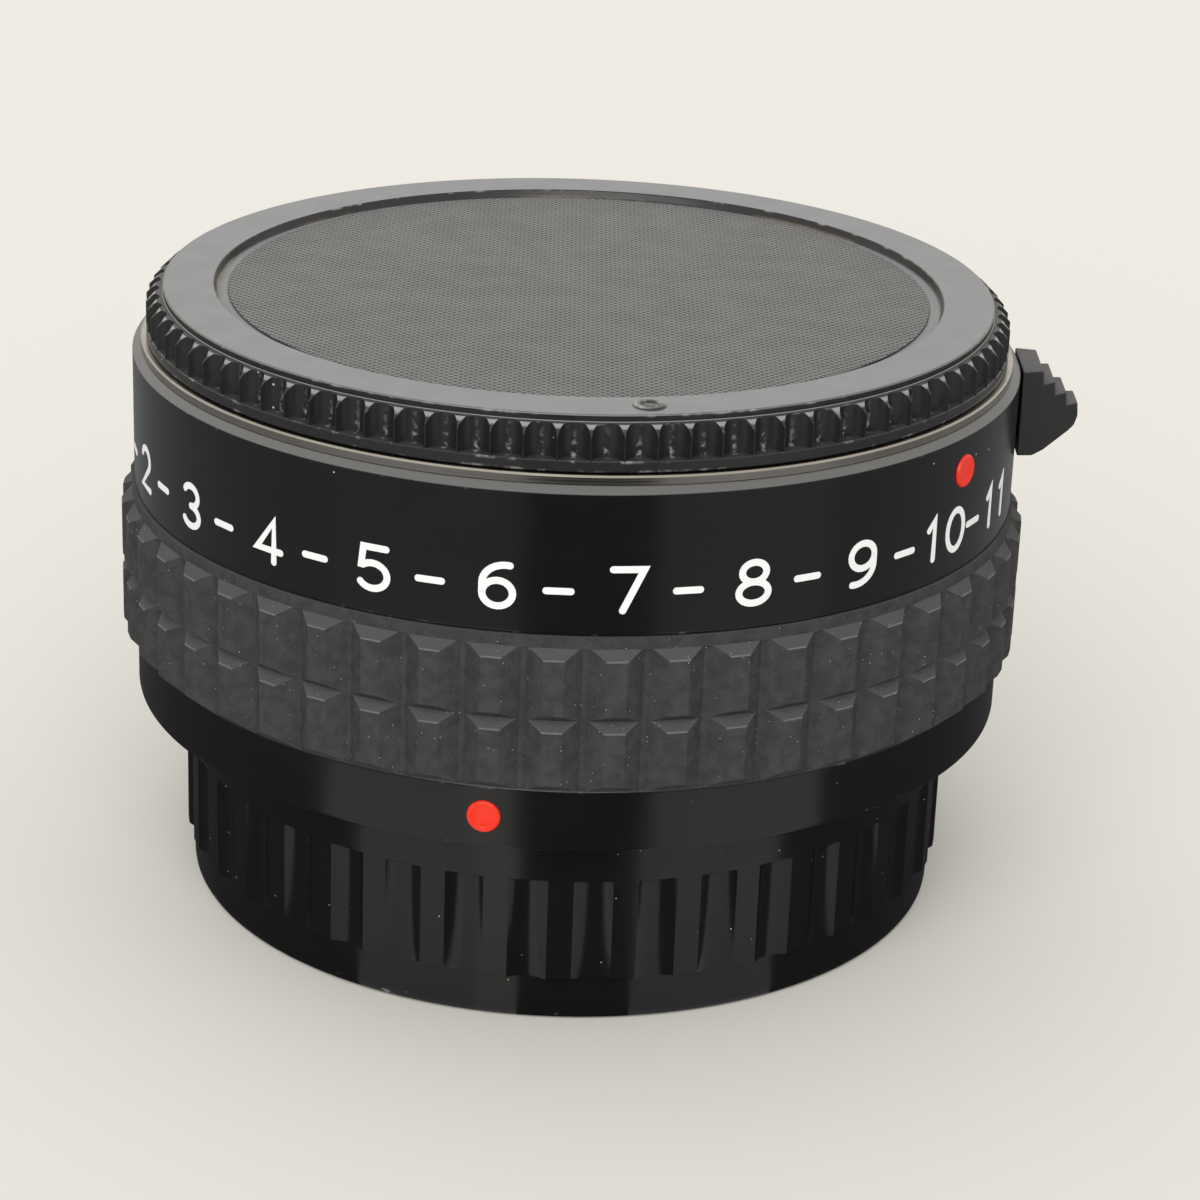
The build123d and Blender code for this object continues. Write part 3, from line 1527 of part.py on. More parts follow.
with BuildPart() as release_lever:
    with BuildSketch(Plane.XZ):
        with BuildLine():
            Polyline(
                *lever_steps,
                (lever_tip_radius, lever_tip_top),
                (lever_tip_radius, lever_nose_bottom),
                (lever_inner_radius + lever_first_tread, lever_strip_bottom),
                (slider_outer_x, lever_strip_bottom),
                close=True,
            )
        make_face()
    extrude(amount=lever_half_width, both=True)
    with BuildSketch(Plane.XY.offset(lever_strip_bottom)):
        with BuildLine():
            Polyline(
                (slider_outer_x, -lever_half_width),
                (lever_strip_radius, -lever_half_width),
                (lever_tip_radius + lever_tip_half_width / 2, -lever_tip_half_width),
                (lever_tip_radius + lever_tip_half_width / 2, lever_tip_half_width),
                (lever_strip_radius, lever_half_width),
                (slider_outer_x, lever_half_width),
                close=True,
            )
        make_face()
    extrude(amount=lever_top - lever_strip_bottom, mode=Mode.INTERSECT)
    noses = release_lever.edges().filter_by(Axis.Y).group_by(Axis.X)[-1]
    fillet(noses.sort_by(Axis.Z)[0], radius=lever_nose_radius)
    with BuildSketch(Plane.XY.offset(lever_strip_bottom)):
        Circle(lever_inner_radius)
    extrude(amount=lever_top - lever_strip_bottom, mode=Mode.SUBTRACT)
    with BuildSketch(Plane.YZ.offset(lever_tongue_inner_x)):
        with Locations((0, lever_tongue_top - lever_tongue_height / 2)):
            Rectangle(lever_tongue_width, lever_tongue_height)
    extrude(amount=lever_strip_radius - lever_tongue_inner_x)
    with BuildSketch(Plane.XY.offset(slider_base)):
        with Locations((cross_pin_x, 0)):
            Circle(cross_pin_radius + fit_gap)
    extrude(amount=slider_height, mode=Mode.SUBTRACT)

release_lever.part.label = "release_lever"
export_step(release_lever.part, "parts/release_lever.step")

# Front cap: fluted edge between a flange and a ledge, a hollow rim and a split spigot
front_cap_step_depth = 0.5
front_cap_ledge = 0.53
front_cap_bevel = 0.65
front_cap_flange_height = 0.8
front_cap_flange_edge = 0.12
front_cap_rim_width = 3.67
front_cap_recess_draft = 0.15
front_cap_recess_depth = 0.6
front_cap_margin = 0.8
front_cap_disc_rise = 0.2
front_cap_plate = 1.45
front_cap_skirt = 2.4
front_flute_count = 90
front_flute_start = -85.64
front_flute_depth = 0.95
front_flute_land = 0.06
front_flute_floor_share = 0.35
spigot_radius = tab_inner_radius - lift_gap
spigot_wall = 1.2
spigot_depth = 3.2
spigot_slit_count = 3
spigot_slit_width = 1.2
spigot_slit_start = 60.0
gate_ring_radius = 1.1
gate_ring_height = 0.15
gate_dimple_radius = 0.68
gate_angle = -79.8
front_cap_step_radius = front_cap_radius - front_cap_bevel - front_cap_ledge
front_cap_recess_radius = front_cap_step_radius - front_cap_rim_width
front_cap_wall_foot_radius = front_cap_recess_radius - front_cap_recess_draft
front_cap_disc_radius = front_cap_wall_foot_radius - front_cap_margin
front_cap_hollow_radius = front_cap_radius - front_cap_skirt
gate_circle = (front_cap_step_radius + front_cap_recess_radius) / 2
front_cap_margin_level = front_cap_top - front_cap_recess_depth
front_cap_disc_level = front_cap_margin_level + front_cap_disc_rise
front_cap_underside = front_cap_disc_level - front_cap_plate
front_cap_ledge_level = front_cap_top - front_cap_step_depth
spigot_end = front_face - spigot_depth

# Each flute has two steep flanks and a narrow floor, and leaves a sharp land to the next one
front_flute_half = (2 * pi * front_cap_radius / front_flute_count - front_flute_land) / 2
front_flute_floor = front_flute_half * front_flute_floor_share
front_flute_slope = (front_flute_half - front_flute_floor) / front_flute_depth
front_flute_mouth = front_flute_half + front_flute_slope * overrun
front_flute_reach = front_flute_depth + overrun

with BuildPart() as front_cap:
    add(
        half_section(
            (
                (0, front_cap_underside),
                (spigot_radius - spigot_wall, front_cap_underside),
                (spigot_radius - spigot_wall, spigot_end),
                (spigot_radius, spigot_end),
                (spigot_radius, front_cap_underside),
                (front_cap_hollow_radius, front_cap_underside),
                (front_cap_hollow_radius, front_cap_base),
                (front_cap_radius, front_cap_base),
                (front_cap_radius, front_cap_ledge_level - front_cap_bevel),
                (front_cap_radius - front_cap_bevel, front_cap_ledge_level),
                (front_cap_step_radius, front_cap_ledge_level),
                (front_cap_step_radius, front_cap_top),
                (front_cap_recess_radius, front_cap_top),
                (front_cap_wall_foot_radius, front_cap_margin_level),
                (front_cap_disc_radius, front_cap_margin_level),
                (front_cap_disc_radius, front_cap_disc_level),
                (0, front_cap_disc_level),
            )
        )
    )
    revolve(axis=Axis.Z)
    rims = front_cap.edges().filter_by(GeomType.CIRCLE)
    rims = rims.filter_by(lambda rim: rim.radius == front_cap_radius)
    chamfer(rims.sort_by(Axis.Z)[0], length=front_cap_flange_edge)
    with BuildSketch(Plane.XY.offset(front_cap_base + front_cap_flange_height)):
        flute_circle = front_cap_radius - front_flute_depth
        with PolarLocations(flute_circle, front_flute_count, front_flute_start):
            Polygon(
                (0, -front_flute_floor),
                (front_flute_reach, -front_flute_mouth),
                (front_flute_reach, front_flute_mouth),
                (0, front_flute_floor),
                align=None,
            )
    extrude(amount=front_cap_height, mode=Mode.SUBTRACT)
    with BuildSketch(Plane.XY.offset(spigot_end)):
        slit_circle = spigot_radius - spigot_wall / 2
        with PolarLocations(slit_circle, spigot_slit_count, spigot_slit_start):
            Rectangle(2 * spigot_wall, spigot_slit_width)
    extrude(amount=spigot_depth, mode=Mode.SUBTRACT)
    with BuildSketch(Plane.XY.offset(front_cap_top)):
        with Locations(polar(gate_circle, gate_angle)):
            Circle(gate_ring_radius)
            Circle(gate_dimple_radius, mode=Mode.SUBTRACT)
    extrude(amount=gate_ring_height)

front_cap.part.label = "front_cap"
export_step(front_cap.part, "parts/front_cap.step")
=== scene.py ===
"""Looks of a camera teleconverter that stands on its rear cap, with its front cap on.

Sizes are in millimetres and angles in degrees. Angles around the axis run from +X towards +Y.
"""

import json
import logging
from collections.abc import Iterable, Sequence
from dataclasses import dataclass
from enum import Enum
from math import acos, atan2, cos, degrees, hypot, pi, radians, sin

import bmesh
import bpy
from mathutils import Matrix, Vector


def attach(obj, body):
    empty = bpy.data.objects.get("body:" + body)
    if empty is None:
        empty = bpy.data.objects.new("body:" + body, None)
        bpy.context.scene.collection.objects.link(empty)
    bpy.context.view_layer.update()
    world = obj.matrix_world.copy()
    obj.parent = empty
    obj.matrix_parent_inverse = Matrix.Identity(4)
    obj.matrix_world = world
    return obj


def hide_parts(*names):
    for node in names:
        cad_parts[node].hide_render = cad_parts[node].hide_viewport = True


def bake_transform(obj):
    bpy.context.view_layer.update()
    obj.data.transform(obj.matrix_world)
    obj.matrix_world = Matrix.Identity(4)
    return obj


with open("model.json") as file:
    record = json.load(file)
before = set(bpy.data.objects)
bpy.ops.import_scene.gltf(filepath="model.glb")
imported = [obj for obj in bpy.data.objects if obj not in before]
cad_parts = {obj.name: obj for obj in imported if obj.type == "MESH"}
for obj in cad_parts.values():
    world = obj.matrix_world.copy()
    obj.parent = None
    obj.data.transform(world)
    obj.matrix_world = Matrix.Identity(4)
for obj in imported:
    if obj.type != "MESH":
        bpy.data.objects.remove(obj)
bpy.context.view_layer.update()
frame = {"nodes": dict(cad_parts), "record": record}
log = logging.getLogger("teleconverter")

MM = 0.001
EDGE_ATTRIBUTE = "edge"
EDGE_GUARD = 0.12
EDGE_STEPS = 2
CLOUD_RANGE = (0.35, 0.65)
RING_RANGE = (0.3, 0.7)
PIT_EDGE = (0.27, 0.43)
WEAR_EDGE = 0.15
FLUTE_COUNT = 90
FLUTE_START = -85.64
BOX_SIDES = ((0, 1, 3, 2), (4, 6, 7, 5), (0, 4, 5, 1), (2, 3, 7, 6), (0, 2, 6, 4), (1, 5, 7, 3))

Color = tuple[float, float, float]
Point = tuple[float, float, float]
Corner = tuple[float, float, float]  # radius, level, and a rounding or an edge mark
Pair = tuple[float, float]
Socket = bpy.types.NodeSocket
Inputs = dict[str, Socket]


class Body(Enum):
    """The bodies of the frame that pieces ride on."""

    REAR_CAP = "rear_cap"
    CONVERTER = "converter"
    FRONT_CAP = "front_cap"
    RELEASE = "release"
    CONTACT_PINS = "contact_pins"


class Facing(Enum):
    """How a mesh is shaded where its faces meet."""

    TURNED = 35.0
    CUT = 25.0
    SOFT = 60.0


# Shader graphs


class Graph:
    """A node tree that is being filled, with short calls for the nodes that finishes need."""

    def __init__(self, tree: bpy.types.NodeTree) -> None:
        """Starts on a tree.

        Args:
            tree: the tree of a material or of a shader group.
        """
        self.tree = tree

    def node(self, kind: str, **settings: object) -> bpy.types.Node:
        """Adds a node.

        Args:
            kind: Blender's name of the node type.
            settings: attributes to set on it.

        Returns:
            The node.
        """
        made = self.tree.nodes.new(kind)
        for key, value in settings.items():
            setattr(made, key, value)
        return made

    def feed(self, socket: Socket, value: object) -> None:
        """Links a socket to another one, or sets its constant.

        Args:
            socket: the input.
            value: an output socket, or a constant.
        """
        if isinstance(value, Socket):
            self.tree.links.new(value, socket)
        else:
            socket.default_value = value

    def math(self, operation: str, *values: object, clamp: bool = False) -> Socket:
        """Adds a Math node.

        Args:
            operation: Blender's name of the operation.
            values: its inputs, sockets or numbers.
            clamp: whether the result stays between 0 and 1.

        Returns:
            The result.
        """
        made = self.node("ShaderNodeMath", operation=operation, use_clamp=clamp)
        for socket, value in zip(made.inputs, values):
            self.feed(socket, value)
        return made.outputs[0]

    def ramp(self, value: object, low: object, high: object, start: object = 0.0,
             end: object = 1.0) -> Socket:
        """Maps a value smoothly from one range to another.

        Args:
            value: what is mapped.
            low: the value that gives start.
            high: the value that gives end.
            start: the result at low.
            end: the result at high.

        Returns:
            The mapped value, held between start and end.
        """
        made = self.node("ShaderNodeMapRange", interpolation_type="SMOOTHSTEP")
        for socket, given in zip(made.inputs, (value, low, high, start, end)):
            self.feed(socket, given)
        return made.outputs[0]

    def blend(self, factor: object, first: object, second: object) -> Socket:
        """Mixes two colours.

        Args:
            factor: 0 gives the first, 1 the second.
            first: a colour or a colour socket.
            second: a colour or a colour socket.

        Returns:
            The mixed colour.
        """
        made = self.node("ShaderNodeMix", data_type="RGBA")
        colours = [s for s in made.inputs if s.type == "RGBA"]
        self.feed(made.inputs[0], factor)
        for socket, value in zip(colours, (first, second)):
            self.feed(socket, (*value, 1.0) if isinstance(value, tuple) else value)
        return next(s for s in made.outputs if s.type == "RGBA")

    def noise(self, vector: object, scale: object, detail: float) -> Socket:
        """Adds a noise texture.

        Args:
            vector: where it is read.
            scale: cells per unit of the vector.
            detail: how many finer layers it has.

        Returns:
            A value about a half.
        """
        made = self.node("ShaderNodeTexNoise")
        self.feed(made.inputs["Vector"], vector)
        self.feed(made.inputs["Scale"], scale)
        self.feed(made.inputs["Detail"], detail)
        return made.outputs[0]

    def parts(self, vector: object) -> list[Socket]:
        """Splits a vector.

        Args:
            vector: the vector.

        Returns:
            Its three values.
        """
        made = self.node("ShaderNodeSeparateXYZ")
        self.feed(made.inputs[0], vector)
        return list(made.outputs)

    def vector(self, *values: object) -> Socket:
        """Joins values into a vector.

        Args:
            values: up to three sockets or numbers.

        Returns:
            The vector.
        """
        made = self.node("ShaderNodeCombineXYZ")
        for socket, value in zip(made.inputs, values):
            self.feed(socket, value)
        return made.outputs[0]


def radius_of(graph: Graph, x: object, y: object) -> Socket:
    """Gives the distance from the axis.

    Args:
        graph: where the nodes go.
        x: the first coordinate.
        y: the second coordinate.

    Returns:
        The length of x and y together.
    """
    squares = graph.math("ADD", graph.math("MULTIPLY", x, x), graph.math("MULTIPLY", y, y))
    return graph.math("SQRT", squares)


def centred_share(graph: Graph, value: object) -> Socket:
    """Gives a value's place in its unit cell, counted from the cell's middle.

    Args:
        graph: where the nodes go.
        value: the value.

    Returns:
        A number between minus and plus a half.
    """
    return graph.math("SUBTRACT", graph.math("FRACT", value), 0.5)


def make_specks(graph: Graph, given: Inputs) -> Socket:
    """Draws small round specks in a share of the cells: dust, lint and pinholes.

    Args:
        graph: the group's graph.
        given: the group's inputs by name.

    Returns:
        1 in the middle of a speck, 0 between specks.
    """
    cells = graph.node("ShaderNodeTexVoronoi")
    graph.feed(cells.inputs["Vector"], given["Position"])
    graph.feed(cells.inputs["Scale"], graph.math("DIVIDE", 1.0, given["Cell"]))
    chosen = graph.math("LESS_THAN", graph.parts(cells.outputs["Color"])[0], given["Share"])
    core = graph.math("MULTIPLY", given["Dot"], 0.5)
    dot = graph.ramp(cells.outputs["Distance"], core, given["Dot"], 1.0, 0.0)
    return graph.math("MULTIPLY", dot, chosen)


def make_mottle(graph: Graph, given: Inputs) -> Socket:
    """Draws soft clouds, for haze, handling and changes of colour.

    Args:
        graph: the group's graph.
        given: the group's inputs by name.

    Returns:
        A value between the inputs Low and High.
    """
    scale = graph.math("DIVIDE", 1.0, given["Size"])
    cloud = graph.noise(given["Position"], scale, 4.0)
    return graph.ramp(cloud, *CLOUD_RANGE, given["Low"], given["High"])


def make_tool_marks(graph: Graph, given: Inputs) -> Socket:
    """Draws the fine rings that turning leaves.

    Args:
        graph: the group's graph.
        given: the group's inputs by name.

    Returns:
        Their height.
    """
    x, y, z = graph.parts(given["Position"])
    across = graph.math("DIVIDE", radius_of(graph, x, y), given["Pitch"])
    along = graph.math("DIVIDE", z, given["Pitch"])
    return graph.noise(graph.vector(across, along, 0.0), 1.0, 3.0)


def make_pits(graph: Graph, given: Inputs) -> Socket:
    """Draws small round pits on a level face, in square rows turned by an angle.

    Args:
        graph: the group's graph.
        given: the group's inputs by name.

    Returns:
        1 in the middle of a pit, 0 between pits.
    """
    turned = graph.node("ShaderNodeVectorRotate", rotation_type="Z_AXIS")
    graph.feed(turned.inputs["Vector"], given["Position"])
    graph.feed(turned.inputs["Angle"], given["Turn"])
    x, y, _ = graph.parts(turned.outputs[0])
    side = centred_share(graph, graph.math("DIVIDE", x, given["Pitch"]))
    depth = centred_share(graph, graph.math("DIVIDE", y, given["Pitch"]))
    return graph.ramp(radius_of(graph, side, depth), *PIT_EDGE, 1.0, 0.0)


def make_spokes(graph: Graph, given: Inputs) -> Socket:
    """Draws narrow lines that repeat around the axis, such as dust in flutes.

    Args:
        graph: the group's graph.
        given: the group's inputs by name.

    Returns:
        1 in the middle of a line, 0 between lines.
    """
    x, y, _ = graph.parts(given["Position"])
    angle = graph.math("SUBTRACT", graph.math("ARCTAN2", y, x), given["Phase"])
    turn = graph.math("MULTIPLY", graph.math("DIVIDE", angle, 2 * pi), given["Count"])
    offset = graph.math("ABSOLUTE", centred_share(graph, graph.math("ADD", turn, 0.5)))
    return graph.ramp(offset, 0.0, given["Width"], 1.0, 0.0)


def make_wear(graph: Graph, given: Inputs) -> Socket:
    """Draws broken rubbing along the edges that the mesh marks.

    Args:
        graph: the group's graph.
        given: the group's inputs by name.

    Returns:
        How much an edge is rubbed.
    """
    scale = graph.math("DIVIDE", 1.0, given["Size"])
    cloud = graph.noise(given["Position"], scale, 5.0)
    limit = graph.math("SUBTRACT", 1.0, given["Amount"])
    upper = graph.math("ADD", limit, WEAR_EDGE)
    rubbed = graph.ramp(cloud, limit, upper)
    return graph.math("MULTIPLY", rubbed, given["Edge"])


def make_facing_up(graph: Graph, given: Inputs) -> Socket:
    """Finds where a face looks up, for the painted top light and painted highlights that go there.

    Args:
        graph: the group's graph.
        given: the group's inputs by name.

    Returns:
        How much it looks up, from 0 at the input Low to 1 at High.
    """
    return graph.ramp(graph.parts(given["Position"])[2], given["Low"], given["High"])


class Effect(Enum):
    """The shader groups that finishes share, each with its inputs and what fills it."""

    SPECKS = ("specks", ("Cell", "Dot", "Share"), make_specks)
    MOTTLE = ("mottle", ("Size", "Low", "High"), make_mottle)
    TOOL_MARKS = ("tool_marks", ("Pitch",), make_tool_marks)
    PITS = ("rows_of_pits", ("Pitch", "Turn"), make_pits)
    SPOKES = ("spokes", ("Count", "Phase", "Width"), make_spokes)
    WEAR = ("edge_wear", ("Edge", "Size", "Amount"), make_wear)
    FACING_UP = ("facing_up", ("Low", "High"), make_facing_up)

    def tree(self) -> bpy.types.NodeTree:
        """Builds the group the first time that a finish asks for it.

        Returns:
            The group's node tree.
        """
        name, numbers, fill = self.value
        if name in bpy.data.node_groups:
            return bpy.data.node_groups[name]
        tree = bpy.data.node_groups.new(name, "ShaderNodeTree")
        tree.interface.new_socket("Position", in_out="INPUT", socket_type="NodeSocketVector")
        for number in numbers:
            tree.interface.new_socket(number, in_out="INPUT", socket_type="NodeSocketFloat")
        tree.interface.new_socket("Value", in_out="OUTPUT", socket_type="NodeSocketFloat")
        graph = Graph(tree)
        entry = graph.node("NodeGroupInput")
        leave = graph.node("NodeGroupOutput")
        given = {socket.name: socket for socket in entry.outputs if socket.name}
        graph.feed(leave.inputs[0], fill(graph, given))
        return tree


# Finishes


class Surface(Graph):
    """The graph of a finish's material, with its main shader and the place on the piece."""

    def __init__(self, tree: bpy.types.NodeTree) -> None:
        """Adds the main shader.

        Args:
            tree: the material's tree.
        """
        super().__init__(tree)
        self.shader = self.node("ShaderNodeBsdfPrincipled")
        output = self.node("ShaderNodeOutputMaterial")
        self.feed(output.inputs["Surface"], self.shader.outputs[0])
        self.position = self.node("ShaderNodeTexCoord").outputs["Object"]

    def cover(self, **values: object) -> None:
        """Feeds inputs of the main shader.

        Args:
            values: sockets or constants, with an underscore for each space in an input's name.
        """
        for key, value in values.items():
            self.feed(self.shader.inputs[key.replace("_", " ")], value)

    def effect(self, effect: Effect, **values: object) -> Socket:
        """Places a shared effect.

        Args:
            effect: which one.
            values: its inputs by name. Its place is the one on the piece where it is left out.

        Returns:
            The effect's result.
        """
        made = self.node("ShaderNodeGroup", node_tree=effect.tree())
        for key, value in {"Position": self.position, **values}.items():
            self.feed(made.inputs[key], value)
        return made.outputs[0]

    def mottle(self, size: float, low: float, high: float) -> Socket:
        """Places the effect of soft clouds.

        Args:
            size: the width of a cloud, in millimetres.
            low: the result between the clouds.
            high: the result inside them.

        Returns:
            A value between low and high.
        """
        return self.effect(Effect.MOTTLE, Size=size * MM, Low=low, High=high)

    def facing_up(self, low: float, high: float) -> Socket:
        """Places the effect of faces that look up.

        Args:
            low: the upward part of the normal that gives 0.
            high: the upward part that gives 1.

        Returns:
            How much a face looks up.
        """
        normal = self.node("ShaderNodeTexCoord").outputs["Normal"]
        return self.effect(Effect.FACING_UP, Position=normal, Low=low, High=high)

    def lift(self, height: object, depth: float) -> None:
        """Gives the surface a relief.

        Args:
            height: the relief, about 0 to 1.
            depth: its depth in millimetres.
        """
        bump = self.node("ShaderNodeBump")
        bump.inputs["Strength"].default_value = 1.0
        bump.inputs["Distance"].default_value = depth * MM
        self.feed(bump.inputs["Height"], height)
        self.cover(Normal=bump.outputs[0])


@dataclass(frozen=True)
class Finish:
    """A plain finish with a soft unevenness, from which the others are drawn."""

    name: str
    color: Color
    roughness: float = 0.4
    metallic: float = 0.0
    specular: float = 0.5
    uneven: float = 0.06
    cloud_size: float = 2.5

    def material(self) -> bpy.types.Material:
        """Gives the finish's material, built the first time.

        Returns:
            The material.
        """
        name = f"{self.name}_finish"
        if name in bpy.data.materials:
            return bpy.data.materials[name]
        made = bpy.data.materials.new(name)
        made.use_nodes = True
        made.node_tree.nodes.clear()
        made.diffuse_color = (*self.color, 1.0)
        surface = Surface(made.node_tree)
        surface.cover(
            Base_Color=(*self.color, 1.0),
            Metallic=self.metallic,
            Specular_IOR_Level=self.specular,
        )
        self.dress(surface)
        return made

    def dress(self, surface: Surface) -> None:
        """Fills the finish's nodes.

        Args:
            surface: the material's surface.
        """
        cloud = surface.mottle(self.cloud_size, -self.uneven, self.uneven)
        surface.cover(Roughness=surface.math("ADD", cloud, self.roughness))


@dataclass(frozen=True)
class DustyFinish(Finish):
    """A moulded or painted black with specks of dust, painted top light on faces that look up, and
    worn edges.
    """

    dust_color: Color = (0.6, 0.58, 0.54)
    dust_share: float = 0.05
    dust_cell: float = 1.1
    dust_dot: float = 0.09
    # painted top light: the paler colour of faces that look up, and where it begins and is full
    top_light_color: Color = (0.08, 0.08, 0.082)
    top_light_from: float = 0.35
    top_light_to: float = 0.75
    wear_color: Color = (0.25, 0.25, 0.24)
    wear: float = 0.45
    wear_size: float = 1.3
    cloud_size: float = 3.0
    top_roughness: float = 0.2
    dust_roughness: float = 0.4

    def dress(self, surface: Surface) -> None:
        """Fills the finish's nodes.

        Args:
            surface: the material's surface.
        """
        color, rough = self.layers(surface)
        surface.cover(Base_Color=color, Roughness=rough)

    def layers(self, surface: Surface) -> tuple[Socket, Socket]:
        """Lays painted top light, dust and wear over the bare colour.

        Args:
            surface: the material's surface.

        Returns:
            The colour and the roughness.
        """
        edge = surface.node("ShaderNodeAttribute", attribute_name=EDGE_ATTRIBUTE).outputs["Fac"]
        rubbed = surface.effect(
            Effect.WEAR, Edge=edge, Size=self.wear_size * MM, Amount=self.wear
        )
        cloud = surface.mottle(self.cloud_size, -self.uneven, self.uneven)
        specks = surface.effect(
            Effect.SPECKS,
            Cell=self.dust_cell * MM,
            Dot=self.dust_dot,
            Share=self.dust_share,
        )
        # painted top light: faces that look up get a paler colour, as if lit from above
        top_lit = surface.facing_up(self.top_light_from, self.top_light_to)
        color = surface.blend(top_lit, self.color, self.top_light_color)
        color = surface.blend(rubbed, color, self.wear_color)
        color = surface.blend(specks, color, self.dust_color)
        rough = surface.math("ADD", cloud, self.roughness)
        rough = surface.math("ADD", rough, surface.math("MULTIPLY", top_lit, self.top_roughness))
        dusty = surface.math("MULTIPLY", specks, self.dust_roughness)
        return color, surface.math("ADD", rough, dusty, clamp=True)


@dataclass(frozen=True)
class TurnedMetal(Finish):
    """Metal with the fine rings of the lathe."""

    pitch: float = 0.12
    depth: float = 0.006
    stain_color: Color = (0.3, 0.27, 0.22)
    stain_size: float = 4.0
    stain_share: float = 0.35

    def dress(self, surface: Surface) -> None:
        """Fills the finish's nodes.

        Args:
            surface: the material's surface.
        """
        marks = surface.effect(Effect.TOOL_MARKS, Pitch=self.pitch * MM)
        stain = surface.mottle(self.stain_size, 0.0, self.stain_share)
        surface.cover(Base_Color=surface.blend(stain, self.color, self.stain_color))
        ends = (self.roughness - self.uneven, self.roughness + self.uneven)
        surface.cover(Roughness=surface.ramp(marks, *RING_RANGE, *ends))
        surface.lift(marks, self.depth)


@dataclass(frozen=True)
class FlutedPlastic(DustyFinish):
    """The front cap: painted top light on the rim, ledges and disc, painted shade in the disc's
    pits, a painted highlight on the tips of the lands, dust round the disc, and grime in the
    flutes.
    """

    disc_radius: float = 25.2
    disc_from: float = 44.3
    # painted top light on the disc, and painted shade in its pits
    disc_light_color: Color = (0.175, 0.177, 0.179)
    pit_shade_color: Color = (0.016, 0.016, 0.016)
    pit_pitch: float = 0.458
    pit_turn: float = -45.7
    pit_depth: float = 0.05
    step_radius: float = 29.75
    flat_range: Pair = (0.8, 0.95)
    tilt_range: Pair = (0.3, 0.6)
    # painted top light on the outer ledge, dimmer on the flange, and a painted highlight on the
    # tips of the lands
    ledge_light_color: Color = (0.055, 0.055, 0.056)
    glint_color: Color = (0.28, 0.28, 0.275)
    flange_light_color: Color = (0.04, 0.04, 0.04)
    corner_radius: float = 26.2
    corner_color: Color = (0.2, 0.165, 0.115)
    disc_light_mottle: tuple[float, float, float] = (20.0, 0.93, 1.0)
    corner_patches: tuple[float, float, float] = (7.0, -0.6, 0.7)
    grime_patches: tuple[float, float, float] = (0.35, -0.5, 0.6)
    grime_width: float = 0.13
    flute_inside: float = 30.75
    flute_low: float = 41.95
    flute_high: float = 44.2

    def dress(self, surface: Surface) -> None:
        """Fills the finish's nodes.

        Args:
            surface: the material's surface.
        """
        color, rough = self.layers(surface)
        x, y, z = surface.parts(surface.position)
        radius = radius_of(surface, x, y)
        high = surface.math("GREATER_THAN", z, self.disc_from * MM)
        inside = surface.math("LESS_THAN", radius, self.disc_radius * MM)
        disc = surface.math("MULTIPLY", inside, high)
        color = self.edged(surface, color, radius, z)
        color, pits = self.pitted(surface, color, disc)
        color = surface.blend(self.corner(surface, radius, high), color, self.corner_color)
        color = surface.blend(self.grime(surface, radius, z), color, self.dust_color)
        surface.cover(Base_Color=color, Roughness=rough)
        surface.lift(surface.math("MULTIPLY", pits, -1.0), self.pit_depth)

    def edged(self, surface: Surface, color: Socket, radius: Socket, level: Socket) -> Socket:
        """Paints top light on what looks up outside the step, ledge and flange, and a painted
        highlight on the tips of the lands.

        Args:
            surface: the material's surface.
            color: the colour so far.
            radius: the distance from the axis.
            level: the height.

        Returns:
            The colour.
        """
        outer = surface.math("GREATER_THAN", radius, self.step_radius * MM)
        flat = surface.facing_up(*self.flat_range)
        tilted = surface.facing_up(*self.tilt_range)
        upper = surface.ramp(level, (self.flute_low + 0.5) * MM, (self.flute_high - 1.0) * MM)
        ledge = surface.blend(upper, self.flange_light_color, self.ledge_light_color)
        tips = surface.ramp(level, (self.flute_high - 0.25) * MM, (self.flute_high - 0.1) * MM)
        tips = surface.math("MULTIPLY", tips, tilted)
        # painted highlight on the tips of the lands, then painted top light on the flat ledges
        color = surface.blend(surface.math("MULTIPLY", outer, tips), color, self.glint_color)
        return surface.blend(surface.math("MULTIPLY", outer, flat), color, ledge)

    def pitted(self, surface: Surface, color: Socket, disc: Socket) -> tuple[Socket, Socket]:
        """Lays the pitted disc over a colour: painted top light on the disc, painted shade in its
        pits.

        Args:
            surface: the material's surface.
            color: the colour round the disc.
            disc: 1 on the disc.

        Returns:
            The colour, and 1 where a pit is deepest.
        """
        pits = surface.effect(
            Effect.PITS, Pitch=self.pit_pitch * MM, Turn=radians(self.pit_turn)
        )
        pits = surface.math("MULTIPLY", pits, disc)
        disc_light_mottle = surface.mottle(*self.disc_light_mottle)
        # painted top light on the disc, unevenly, then painted shade in the pits
        color = surface.blend(surface.math("MULTIPLY", disc, disc_light_mottle), color, self.disc_light_color)
        return surface.blend(pits, color, self.pit_shade_color), pits

    def corner(self, surface: Surface, radius: Socket, high: Socket) -> Socket:
        """Finds the foot of the recess wall, where brown dust lies in places.

        Args:
            surface: the material's surface.
            radius: the distance from the axis.
            high: 1 above the level of that foot.

        Returns:
            How much dust there is.
        """
        near = surface.ramp(radius, (self.disc_radius + 0.2) * MM, (self.corner_radius - 0.3) * MM)
        far = surface.math("LESS_THAN", radius, self.corner_radius * MM)
        low = surface.math("SUBTRACT", 1.0, high)
        patches = surface.mottle(*self.corner_patches)
        for mask in (far, low, patches):
            near = surface.math("MULTIPLY", near, mask)
        return near

